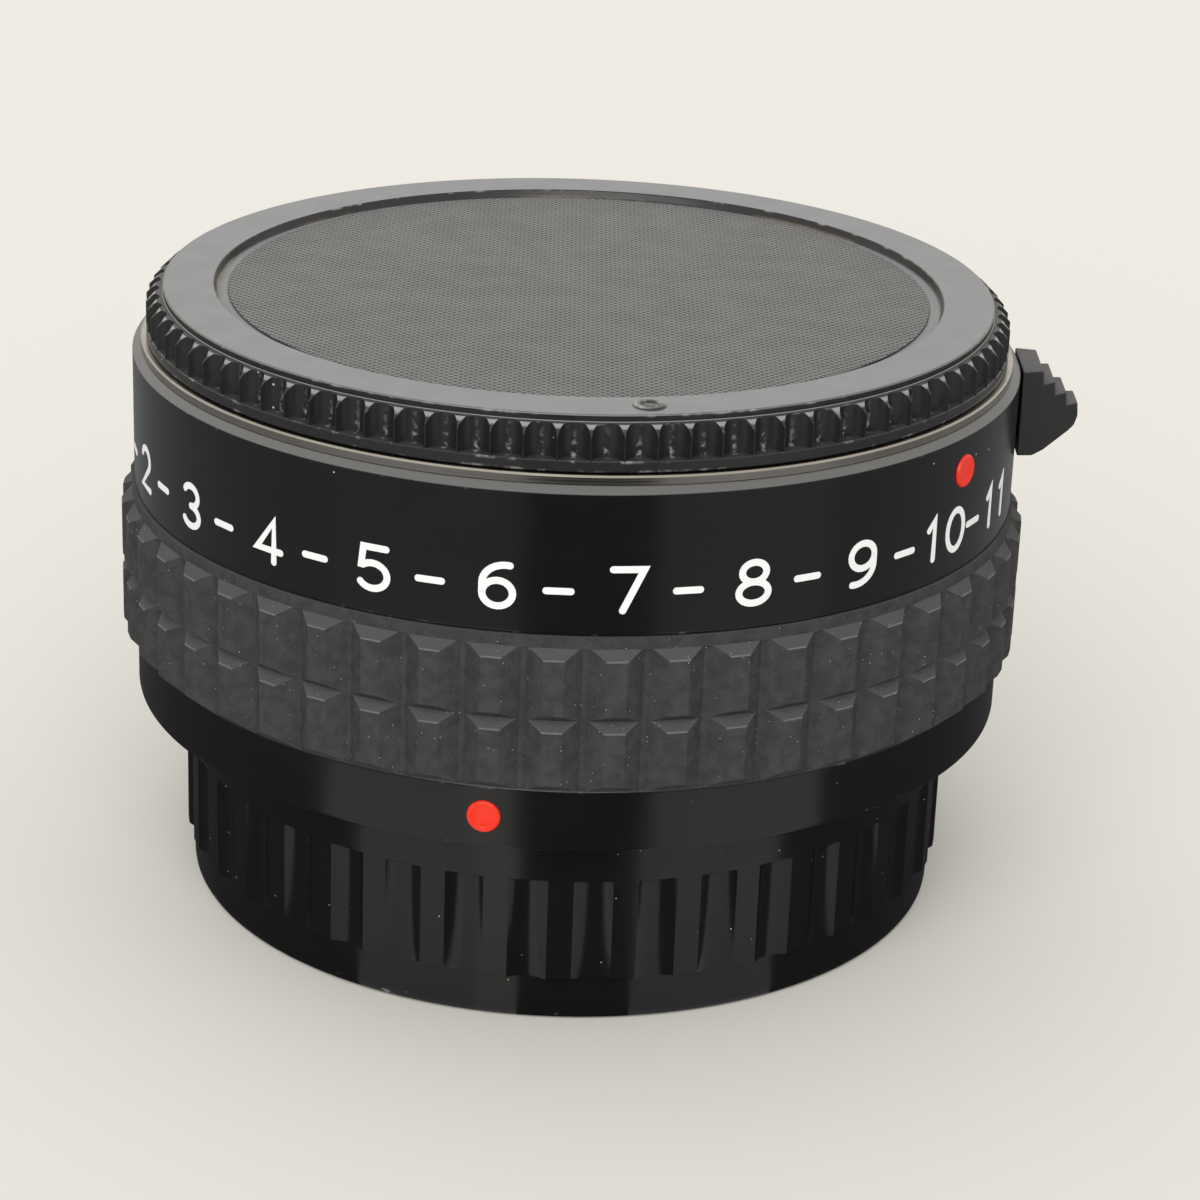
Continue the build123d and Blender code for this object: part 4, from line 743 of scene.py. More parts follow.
    def grime(self, surface: Surface, radius: Socket, level: Socket) -> Socket:
        """Finds the bottoms of the flutes, where pale grime gathers towards the foot.

        Args:
            surface: the material's surface.
            radius: the distance from the axis.
            level: the height.

        Returns:
            How much grime there is.
        """
        lines = surface.effect(
            Effect.SPOKES,
            Count=float(FLUTE_COUNT),
            Phase=radians(FLUTE_START),
            Width=self.grime_width,
        )
        outside = self.flute_inside * MM
        inside = surface.ramp(radius, (self.flute_inside - 0.4) * MM, outside, 1.0, 0.0)
        foot = surface.ramp(level, self.flute_low * MM, (self.flute_high - 0.6) * MM, 1.0, 0.15)
        band = surface.math("LESS_THAN", level, self.flute_high * MM)
        broken = surface.mottle(*self.grime_patches)
        for mask in (inside, foot, band, broken):
            lines = surface.math("MULTIPLY", lines, mask)
        return lines


@dataclass(frozen=True)
class RubberFinish(DustyFinish):
    """Matt rubber with a dry bloom, grit in its grooves, and pale crests of wear and painted
    highlight.
    """

    bloom_color: Color = (0.085, 0.085, 0.086)
    bloom: tuple[float, float, float] = (0.9, 0.05, 0.3)
    grain: float = 0.22
    grain_depth: float = 0.02

    def dress(self, surface: Surface) -> None:
        """Fills the finish's nodes.

        Args:
            surface: the material's surface.
        """
        color, rough = self.layers(surface)
        bloom = surface.mottle(*self.bloom)
        color = surface.blend(bloom, color, self.bloom_color)
        surface.cover(Base_Color=color, Roughness=rough)
        surface.lift(surface.mottle(self.grain, 0.0, 1.0), self.grain_depth)


@dataclass(frozen=True)
class GlassFinish(Finish):
    """Coated optical glass."""

    tint: Color = (0.86, 0.95, 0.93)
    refraction: float = 1.6
    coated_radius: float = 15.5

    def dress(self, surface: Surface) -> None:
        """Fills the finish's nodes.

        Args:
            surface: the material's surface.
        """
        x, y, _ = surface.parts(surface.position)
        coating = surface.ramp(radius_of(surface, x, y), 0.0, self.coated_radius * MM)
        surface.cover(
            Base_Color=surface.blend(coating, self.tint, self.color),
            Roughness=self.roughness,
            Transmission_Weight=1.0,
            IOR=self.refraction,
        )


@dataclass(frozen=True)
class Enamel(Finish):
    """Glossy paint that fills a dot or a groove, a little darker in places."""

    shade: Color = (0.4, 0.01, 0.012)
    shade_size: float = 0.8
    shade_share: float = 0.35
    cloud_size: float = 0.5

    def dress(self, surface: Surface) -> None:
        """Fills the finish's nodes.

        Args:
            surface: the material's surface.
        """
        cloud = surface.mottle(self.shade_size, 0.0, self.shade_share)
        surface.cover(Base_Color=surface.blend(cloud, self.color, self.shade))
        ends = (self.roughness - self.uneven, self.roughness + self.uneven)
        surface.cover(Roughness=surface.mottle(self.cloud_size, *ends))


# the paler colour that each finish gives to faces that look up is painted top light
BARREL_PAINT = DustyFinish(
    "gloss_barrel_paint", (0.0055, 0.0055, 0.0058), 0.2, specular=0.5, uneven=0.02,
    dust_share=0.06, dust_dot=0.07, top_light_color=(0.13, 0.129, 0.126), wear=0.4,
    wear_color=(0.1, 0.1, 0.098),
)
CAP_GLOSS = DustyFinish(
    "gloss_cap_plastic", (0.006, 0.006, 0.0062), 0.19, specular=0.5, uneven=0.02,
    dust_share=0.22, dust_cell=0.8, dust_dot=0.07, wear=0.35,
)
CAP_WORN = FlutedPlastic(
    "worn_cap_plastic", (0.016, 0.016, 0.0165), 0.3, specular=0.5, uneven=0.04, dust_share=0.04,
    top_light_color=(0.25, 0.253, 0.258), top_light_from=0.93, top_light_to=0.99, wear=0.45,
)
# the gate ring's pale edge wear is partly wear, partly a painted highlight on its rims
GATE_PLASTIC = DustyFinish(
    "gate_plastic", (0.02, 0.02, 0.02), 0.25, specular=0.5, uneven=0.04, dust_share=0.0,
    top_light_color=(0.1, 0.1, 0.098), top_light_from=0.9, top_light_to=0.99, wear=0.6,
    wear_color=(0.4, 0.4, 0.39),
)
# the grip's pale edge wear is partly wear, partly a painted highlight on the crests
GRIP_RUBBER = RubberFinish(
    "grip_rubber", (0.031, 0.031, 0.032), 0.72, specular=0.35, uneven=0.06,
    dust_share=0.3, dust_cell=0.4, dust_dot=0.1, top_light_color=(0.085, 0.085, 0.084),
    top_light_from=0.3, top_light_to=0.7, wear=0.85, wear_color=(0.2, 0.2, 0.198),
)
LEVER_PAINT = DustyFinish(
    "lever_paint", (0.016, 0.016, 0.0165), 0.4, specular=0.5, uneven=0.04, wear=0.5,
)
MOUNT_METAL = TurnedMetal(
    "satin_chrome", (0.42, 0.4, 0.37), 0.22, 1.0, uneven=0.06, depth=0.002
)
SCREW_STEEL = TurnedMetal("screw_steel", (0.5, 0.5, 0.5), 0.32, 1.0)
SPRING_STEEL = TurnedMetal("spring_steel", (0.55, 0.54, 0.5), 0.25, 1.0, pitch=0.2)
COUPLING_METAL = TurnedMetal("coupling_metal", (0.42, 0.42, 0.43), 0.35, 1.0)
CAST_ALLOY = TurnedMetal(
    "black_casting", (0.03, 0.03, 0.032), 0.55, 0.4, pitch=0.4, stain_color=(0.05, 0.05, 0.05)
)
TURNED_ALLOY = TurnedMetal(
    "black_turned_alloy", (0.02, 0.02, 0.022), 0.4, 0.3, stain_color=(0.035, 0.035, 0.035)
)
CONTACT_GOLD = TurnedMetal(
    "contact_gold", (0.85, 0.62, 0.25), 0.25, 1.0, stain_color=(0.6, 0.4, 0.15)
)
WIRE_COPPER = TurnedMetal("wire_copper", (0.75, 0.42, 0.26), 0.35, 1.0)
INSULATOR = Finish("insulator", (0.02, 0.02, 0.021), 0.5)
SHIELD_BLACK = Finish("matt_shield", (0.008, 0.008, 0.008), 0.8, specular=0.2)
GLASS = GlassFinish("coated_glass", (0.8, 0.72, 0.9), 0.02)
DOT_RED = Enamel(
    "dot_red", (0.9, 0.035, 0.012), 0.22, specular=0.4, uneven=0.05, shade=(0.72, 0.022, 0.008)
)
MARK_WHITE = Enamel("mark_white", (0.92, 0.92, 0.92), 0.45, shade=(0.85, 0.85, 0.85))
SLOT_FINISHES = {
    "front_cap_plastic": CAP_WORN, "rear_cap_plastic": CAP_GLOSS, "barrel_paint": BARREL_PAINT,
    "grip_rubber": GRIP_RUBBER, "lever_paint": LEVER_PAINT, "dot_red": DOT_RED,
    "mount_metal": MOUNT_METAL, "screw_steel": SCREW_STEEL, "spring_steel": SPRING_STEEL,
    "cast_alloy": CAST_ALLOY, "turned_alloy": TURNED_ALLOY, "coupling_metal": COUPLING_METAL,
    "coated_glass": GLASS, "shield_black": SHIELD_BLACK, "insulator": INSULATOR,
    "contact_gold": CONTACT_GOLD, "wire_copper": WIRE_COPPER,
}


# Meshes


def polar(radius: float, angle: float, level: float) -> Point:
    """Gives the point at a radius, an angle and a level."""
    return (radius * cos(radians(angle)), radius * sin(radians(angle)), level)


def add_object(name: str, data: bpy.types.ID) -> bpy.types.Object:
    """Adds an object to the scene.

    Args:
        name: its name.
        data: its mesh, camera or light.

    Returns:
        The object.
    """
    item = bpy.data.objects.new(name, data)
    bpy.context.scene.collection.objects.link(item)
    return item


def rounded(corners: Sequence[Corner], steps: int = 3) -> list[Corner]:
    """Rounds the corners of an open outline and marks them as edges.

    Args:
        corners: radius, level and rounding of each corner.
        steps: how many faces a rounding has.

    Returns:
        Radius, level and edge mark of each point.
    """
    line: list[Corner] = [(corners[0][0], corners[0][1], 0.0)]
    for before, here, after in zip(corners, corners[1:], corners[2:]):
        spot = Vector(here[:2])
        back = Vector(before[:2]) - spot
        on = Vector(after[:2]) - spot
        if here[2] == 0 or min(back.length, on.length) == 0:
            line.append((here[0], here[1], 0.0))
            continue
        cut = min(here[2], back.length / 2, on.length / 2)
        reach = [min(cut + EDGE_GUARD, side.length * 0.5) for side in (back, on)]
        start = spot + back.normalized() * reach[0]
        line.append((start.x, start.y, 0.0))
        first, last = spot + back.normalized() * cut, spot + on.normalized() * cut
        for step in range(steps + 1):
            share = step / steps
            point = first.lerp(spot, share).lerp(spot.lerp(last, share), share)
            line.append((point.x, point.y, 1.0))
        end = spot + on.normalized() * reach[1]
        line.append((end.x, end.y, 0.0))
    line.append((corners[-1][0], corners[-1][1], 0.0))
    return line


class Shape:
    """Vertices and faces that are collected in millimetres and become one piece."""

    def __init__(self) -> None:
        """Starts empty."""
        self.points: list[Point] = []
        self.marks: list[float] = []
        self.faces: list[tuple[int, ...]] = []

    def point(self, place: Point, mark: float = 0.0) -> int:
        """Adds a vertex.

        Args:
            place: where it is.
            mark: 1 on a worn edge.

        Returns:
            Its index.
        """
        self.points.append(place)
        self.marks.append(mark)
        return len(self.points) - 1

    def face(self, places: Iterable[Point], marks: Sequence[float] = ()) -> None:
        """Adds a face with vertices of its own, which merge with others in the same place.

        Args:
            places: its corners in order.
            marks: the edge mark of each corner, none where it is left out.
        """
        corners = list(places)
        values = marks or [0.0] * len(corners)
        self.faces.append(tuple(self.point(*corner) for corner in zip(corners, values)))

    def patch(self, places: Iterable[Point], marks: Sequence[float] = ()) -> None:
        """Adds a face whose corners are given around the axis.

        Args:
            places: radius, angle and level of each corner in order.
            marks: the edge mark of each corner, none where it is left out.
        """
        self.face((polar(*place) for place in places), marks)

    def box(self, across: Pair, half: float, levels: Pair) -> None:
        """Adds a block that lies evenly about the X axis.

        Args:
            across: where it begins and ends along X.
            half: half its width along Y.
            levels: its lower and upper level.
        """
        corners = [(x, y, z) for x in across for y in (-half, half) for z in levels]
        for side in BOX_SIDES:
            self.face(corners[i] for i in side)

    def columns(self, angles: Sequence[float], outlines: Sequence[Sequence[Corner]],
                around: bool = True, looped: bool = False) -> None:
        """Adds a turned surface whose outline may change from one angle to the next.

        Args:
            angles: the angle of each column.
            outlines: radius, level and edge mark of each point, one outline for each angle.
            around: whether the last column joins the first.
            looped: whether each outline's end joins its start.
        """
        grid = [
            [self.point(polar(radius, angle, level), mark) for radius, level, mark in outline]
            for angle, outline in zip(angles, outlines)
        ]
        pairs = list(zip(grid, grid[1:] + grid[:1] if around else grid[1:]))
        rows = len(grid[0]) if looped else len(grid[0]) - 1
        for here, there in pairs:
            for row in range(rows):
                low, high = row, (row + 1) % len(here)
                self.faces.append((here[low], there[low], there[high], here[high]))

    def turn(self, outline: Sequence[Corner], count: int) -> None:
        """Adds a plain turned surface.

        Args:
            outline: a closed outline.
            count: the number of columns.
        """
        angles = [360 * step / count for step in range(count)]
        self.columns(angles, [outline] * count, looped=True)

    def sector(self, outline: Sequence[Corner], start: float, width: float, count: int = 24
               ) -> None:
        """Adds a turned piece that goes part of the way round, closed at its ends.

        Args:
            outline: a closed outline.
            start: the angle where it begins.
            width: how far it goes.
            count: the number of columns.
        """
        angles = [start + width * step / count for step in range(count + 1)]
        self.columns(angles, [outline] * len(angles), around=False, looped=True)
        for angle in (angles[0], angles[-1]):
            self.patch((radius, angle, level) for radius, level, _ in outline)

    def mesh(self, name: str, facing: Facing, place: Matrix | None = None) -> bpy.types.Mesh:
        """Makes the mesh, with vertices in the same place merged.

        Args:
            name: the mesh's name.
            facing: the angle above which its faces meet sharply.
            place: where the shape's own frame lies, in millimetres, if not on the axis.

        Returns:
            The mesh, in metres.
        """
        made = bpy.data.meshes.new(name)
        move = Matrix.Scale(MM, 4) @ (place or Matrix.Identity(4))
        made.from_pydata([move @ Vector(point) for point in self.points], [], self.faces)
        values = made.attributes.new(EDGE_ATTRIBUTE, "FLOAT", "POINT")
        values.data.foreach_set("value", self.marks)
        solid = bmesh.new()
        solid.from_mesh(made)
        bmesh.ops.remove_doubles(solid, verts=solid.verts, dist=0.002 * MM)
        bmesh.ops.dissolve_degenerate(solid, edges=solid.edges, dist=0.001 * MM)
        bmesh.ops.recalc_face_normals(solid, faces=solid.faces)
        solid.to_mesh(made)
        solid.free()
        made.shade_smooth()
        made.set_sharp_from_angle(angle=radians(facing.value))
        return made

    def piece(self, name: str, finish: Finish, body: Body, facing: Facing = Facing.TURNED,
              place: Matrix | None = None) -> bpy.types.Object:
        """Makes the object and sets it on its body.

        Args:
            name: the piece's name.
            finish: its finish.
            body: the body it rides on.
            facing: the angle above which its faces meet sharply.
            place: where the shape's own frame lies, in millimetres, if not on the axis.

        Returns:
            The object.
        """
        made = self.mesh(name, facing, place)
        item = add_object(name, made)
        made.materials.append(finish.material())
        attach(item, body.value)
        log.info("%s: %d faces", name, len(made.polygons))
        return item


def ease_edges(item: bpy.types.Object, width: float, angle: float) -> None:
    """Rounds the sharp edges of a piece and keeps its flats flat.

    Args:
        item: the piece.
        width: the width of the rounding, in millimetres.
        angle: the angle above which an edge is rounded.
    """
    bevel = item.modifiers.new("eased_edges", "BEVEL")
    bevel.width = width * MM
    bevel.segments = EDGE_STEPS
    bevel.limit_method = "ANGLE"
    bevel.angle_limit = radians(angle)
    bevel.use_clamp_overlap = True
    keep_flats(item)


def keep_flats(item: bpy.types.Object) -> None:
    """Lets the large faces of a piece set its shading."""
    weighted = item.modifiers.new("kept_flats", "WEIGHTED_NORMAL")
    weighted.keep_sharp = True


@dataclass(frozen=True)
class Fluting:
    """Round grooves along the side of a cap."""

    radius: float
    count: int
    depth: float
    cutter: float
    start: float
    steps: int

    def columns(self) -> list[Pair]:
        """Works out the columns of the fluted side.

        Returns:
            The angle and the wall's radius of each column, flute by flute.
        """
        centre = self.radius - self.depth + self.cutter
        reach = acos((centre**2 + self.cutter**2 - self.radius**2) / (2 * centre * self.cutter))
        found = []
        for flute in range(self.count):
            middle = self.start + 360 * flute / self.count
            for step in range(self.steps + 1):
                swing = reach * (2 * step / self.steps - 1)
                out = centre - self.cutter * cos(swing)
                side = self.cutter * sin(swing)
                found.append((middle + degrees(atan2(side, out)), hypot(out, side)))
        return found


# The object


@dataclass(frozen=True)
class FrontCap:
    """The cap on the lens side: fluted edge, stepped rim, pitted disc, split spigot."""

    base: float = 41.2
    flange_top: float = 42.0
    ledge_level: float = 44.25
    top: float = 44.75
    margin_level: float = 44.15
    disc_level: float = 44.35
    underside: float = 42.9
    radius: float = 31.0
    bevel: float = 0.65
    step_radius: float = 29.82
    recess_radius: float = 26.15
    wall_foot: float = 26.0
    disc_radius: float = 25.2
    hollow_radius: float = 28.6
    spigot_outside: float = 22.2
    spigot_inside: float = 21.0
    spigot_end: float = 37.95
    slit_count: int = 3
    slit_start: float = 60.0
    slit_width: float = 1.2
    flute_depth: float = 0.95
    flute_cutter: float = 1.055
    gate_angle: float = -79.8
    gate_circle: float = 27.985
    gate_profile: tuple[Corner, ...] = (
        (0.0, 0.07, 0.0),
        (0.24, 0.065, 0.03),
        (0.4, 0.005, 0.03),
        (0.5, 0.005, 0.03),
        (0.7, 0.148, 0.04),
        (0.94, 0.148, 0.04),
        (1.16, -0.02, 0.0),
    )

    def outline(self, wall: float) -> list[Corner]:
        """Gives the outline at one angle.

        Args:
            wall: how far out the side reaches there.

        Returns:
            Radius, level and edge mark of each point.
        """
        ledge_radius = self.radius - self.bevel
        corner = min(wall, ledge_radius)
        rise = self.ledge_level - max(0.0, wall - ledge_radius)
        return [
            (0.0, self.underside, 0.0),
            (self.hollow_radius, self.underside, 0.0),
            (self.hollow_radius, self.base, 0.0),
            (self.radius - 0.1, self.base, 0.0),
            (self.radius, self.base + 0.1, 1.0),
            (self.radius, self.base + 0.25, 0.0),
            (self.radius, self.flange_top - 0.2, 0.0),
            (self.radius, self.flange_top - 0.07, 1.0),
            (max(wall, self.radius - 0.07), self.flange_top, 1.0),
            (max(wall, self.radius - 0.2), self.flange_top, 0.0),
            (wall, self.flange_top, 0.0),
            (wall, self.flange_top + 0.3, 0.0),
            (wall, rise - 0.15, 0.0),
            (wall, rise, 0.8),
            (corner, self.ledge_level, 0.8),
            (corner - 0.05, self.ledge_level, 0.0),
            (self.step_radius + 0.04, self.ledge_level, 0.0),
            (self.step_radius, self.ledge_level + 0.04, 0.0),
            (self.step_radius, self.top - 0.2, 0.0),
            (self.step_radius, self.top - 0.09, 1.0),
            (self.step_radius - 0.03, self.top - 0.03, 1.0),
            (self.step_radius - 0.09, self.top, 1.0),
            (self.step_radius - 0.25, self.top, 0.0),
            (self.recess_radius + 0.25, self.top, 0.0),
            (self.recess_radius + 0.07, self.top, 1.0),
            (self.recess_radius + 0.01, self.top - 0.06, 1.0),
            (self.recess_radius - 0.01, self.top - 0.15, 0.0),
            (self.wall_foot + 0.02, self.margin_level + 0.08, 0.0),
            (self.wall_foot - 0.06, self.margin_level, 0.0),
            (self.disc_radius + 0.1, self.margin_level, 0.0),
            (self.disc_radius + 0.01, self.margin_level + 0.02, 0.0),
            (self.disc_radius, self.disc_level - 0.05, 0.0),
            (self.disc_radius - 0.05, self.disc_level, 0.6),
            (self.disc_radius - 0.2, self.disc_level, 0.0),
            (0.0, self.disc_level, 0.0),
        ]

    def build(self) -> None:
        """Builds the shell, the spigot and the ring that the moulding gate leaves."""
        fluting = Fluting(
            self.radius, FLUTE_COUNT, self.flute_depth, self.flute_cutter, FLUTE_START, steps=12
        )
        columns = fluting.columns()
        shape = Shape()
        shape.columns([angle for angle, _ in columns], [self.outline(wall) for _, wall in columns])
        shell = shape.piece("front_cap_shell", CAP_WORN, Body.FRONT_CAP, Facing.CUT)
        keep_flats(shell)
        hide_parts("front_cap")
        self.build_spigot()
        self.build_gate_ring()

    def build_spigot(self) -> None:
        """Builds the sprung ring that holds the cap in the throat, split into segments."""
        loop = [
            (self.spigot_inside, self.underside, 0.0),
            (self.spigot_inside, self.spigot_end + 0.15, 0.0),
            (self.spigot_inside + 0.15, self.spigot_end, 0.0),
            (self.spigot_outside - 0.3, self.spigot_end, 0.0),
            (self.spigot_outside, self.spigot_end + 0.3, 0.0),
            (self.spigot_outside, self.underside, 0.0),
        ]
        gap = degrees(self.slit_width / self.spigot_outside)
        pitch = 360 / self.slit_count
        shape = Shape()
        for slit in range(self.slit_count):
            start = self.slit_start + pitch * slit + gap / 2
            shape.sector(loop, start, pitch - gap, 48)
        spigot = shape.piece("front_cap_spigot", CAP_WORN, Body.FRONT_CAP)

    def build_gate_ring(self) -> None:
        """Builds the small raised ring with a dimple on the rim."""
        loop = rounded([(out, self.top + rise, cut) for out, rise, cut in self.gate_profile])
        shape = Shape()
        shape.turn([*loop, (0.0, loop[-1][1], 0.0)], 48)
        place = Matrix.Translation(polar(self.gate_circle, self.gate_angle, 0.0))
        ring = shape.piece("front_cap_gate_ring", GATE_PLASTIC, Body.FRONT_CAP, place=place)


@dataclass(frozen=True)
class Barrel:
    """The two painted rings of the barrel, with their dots."""

    radius: float = 32.0
    bore: float = 30.5
    lower_radius: float = 31.9
    lower_base: float = 14.75
    grip_base: float = 19.3
    upper_base: float = 30.35
    upper_top: float = 40.5
    bevel_width: float = 0.55
    bevel_height: float = 0.4
    seat_radius: float = 29.8
    lip_inside: float = 28.6
    lip_base: float = 16.0
    lip_top: float = 16.95
    slot_low: float = 34.15
    slot_high: float = 38.75
    slot_width: float = 3.1
    column_count: int = 288
    dot_radius: float = 1.15
    dot_profile: tuple[Pair, ...] = (
        (0.0, 0.12), (0.55, 0.125), (0.7, 0.16), (0.8, 0.2), (0.9, 0.19), (0.97, 0.13),
        (1.0, 0.03), (1.0, -0.4), (0.0, -0.4),
    )
    front_dot: Pair = (-33.5, 37.66)
    rear_dot: Pair = (-99.0, 17.03)

    def build(self) -> None:
        """Builds both rings and both dots."""
        self.build_upper()
        self.build_lower()
        self.build_dot("front_index_dot_enamel", "front_index_dot", self.radius, self.front_dot)
        wall = self.lower_radius
        self.build_dot("rear_index_dot_enamel", "rear_index_dot", wall, self.rear_dot)

    def build_upper(self) -> None:
        """Builds the ring under the lens mount, with the slot for the lever's tongue."""
        loop = rounded(
            [
                (self.bore, self.upper_base, 0.0),
                (self.radius - 0.01, self.upper_base, 0.12),
                (self.radius, self.upper_top - self.bevel_height, 0.06),
                (self.radius - self.bevel_width, self.upper_top, 0.05),
                (self.bore, self.upper_top, 0.0),
            ]
        )
        columns = self.slotted_columns()
        shape = Shape()
        shape.columns(columns, [loop] * len(columns), looped=True)
        ring = shape.piece("upper_barrel_ring", BARREL_PAINT, Body.CONVERTER)
        self.cut_slot(ring)
        keep_flats(ring)
        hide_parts("upper_barrel")

    def slotted_columns(self) -> list[float]:
        """Spaces the columns of the upper ring, so that none stands inside the slot's width.

        Returns:
            The angle of each column.
        """
        edge = degrees(self.slot_width / 2 / self.radius) * 1.05
        count = self.column_count
        return [edge + (360 - 2 * edge) * step / count for step in range(count + 1)]

    def cut_slot(self, ring: bpy.types.Object) -> None:
        """Cuts the lever's slot.

        Args:
            ring: the upper ring.
        """
        cutter = Shape()
        across = (self.bore - 2, self.radius + 2)
        cutter.box(across, self.slot_width / 2, (self.slot_low, self.slot_high))
        box = cutter.piece("slot_cutter", BARREL_PAINT, Body.CONVERTER)
        cut = ring.modifiers.new("slot", "BOOLEAN")
        cut.operation = "DIFFERENCE"
        cut.solver = "EXACT"
        cut.object = box
        bpy.context.view_layer.update()
        shaped = ring.evaluated_get(bpy.context.evaluated_depsgraph_get())
        ring.data = bpy.data.meshes.new_from_object(shaped)
        ring.modifiers.clear()
        bpy.data.objects.remove(box)

    def build_lower(self) -> None:
        """Builds the ring at the camera side."""
        loop = rounded(
            [
                (self.seat_radius, self.lower_base, 0.0),
                (self.lower_radius, self.lower_base, 0.22),
                (self.lower_radius, self.grip_base, 0.2),
                (self.bore, self.grip_base, 0.0),
                (self.bore, self.lip_top, 0.0),
                (self.lip_inside, self.lip_top, 0.0),
                (self.lip_inside, self.lip_base, 0.0),
                (self.seat_radius, self.lip_base, 0.0),
            ]
        )
        shape = Shape()
        shape.turn(loop, self.column_count)
        ring = shape.piece("lower_barrel_ring", BARREL_PAINT, Body.CONVERTER)
        keep_flats(ring)
        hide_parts("lower_barrel")

    def build_dot(self, name: str, node: str, wall: float, spot: Pair) -> None:
        """Builds a dot: a button of enamel with a raised rim and a shallow dish.

        Args:
            name: the piece's name.
            node: the node it stands for.
            wall: the radius of the barrel there.
            spot: where it is around the axis, and its level.
        """
        angle, level = spot
        shape = Shape()
        shape.turn([(self.dot_radius * share, rise, 0.0) for share, rise in self.dot_profile], 48)
        out = Vector(polar(1.0, angle, 0.0))
        axes = Matrix((out.cross(Vector((0, 0, 1))), Vector((0, 0, 1)), out)).transposed().to_4x4()
        place = Matrix.Translation(out * wall + Vector((0, 0, level))) @ axes
        dot = shape.piece(name, DOT_RED, Body.CONVERTER, Facing.SOFT, place)
        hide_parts(node)


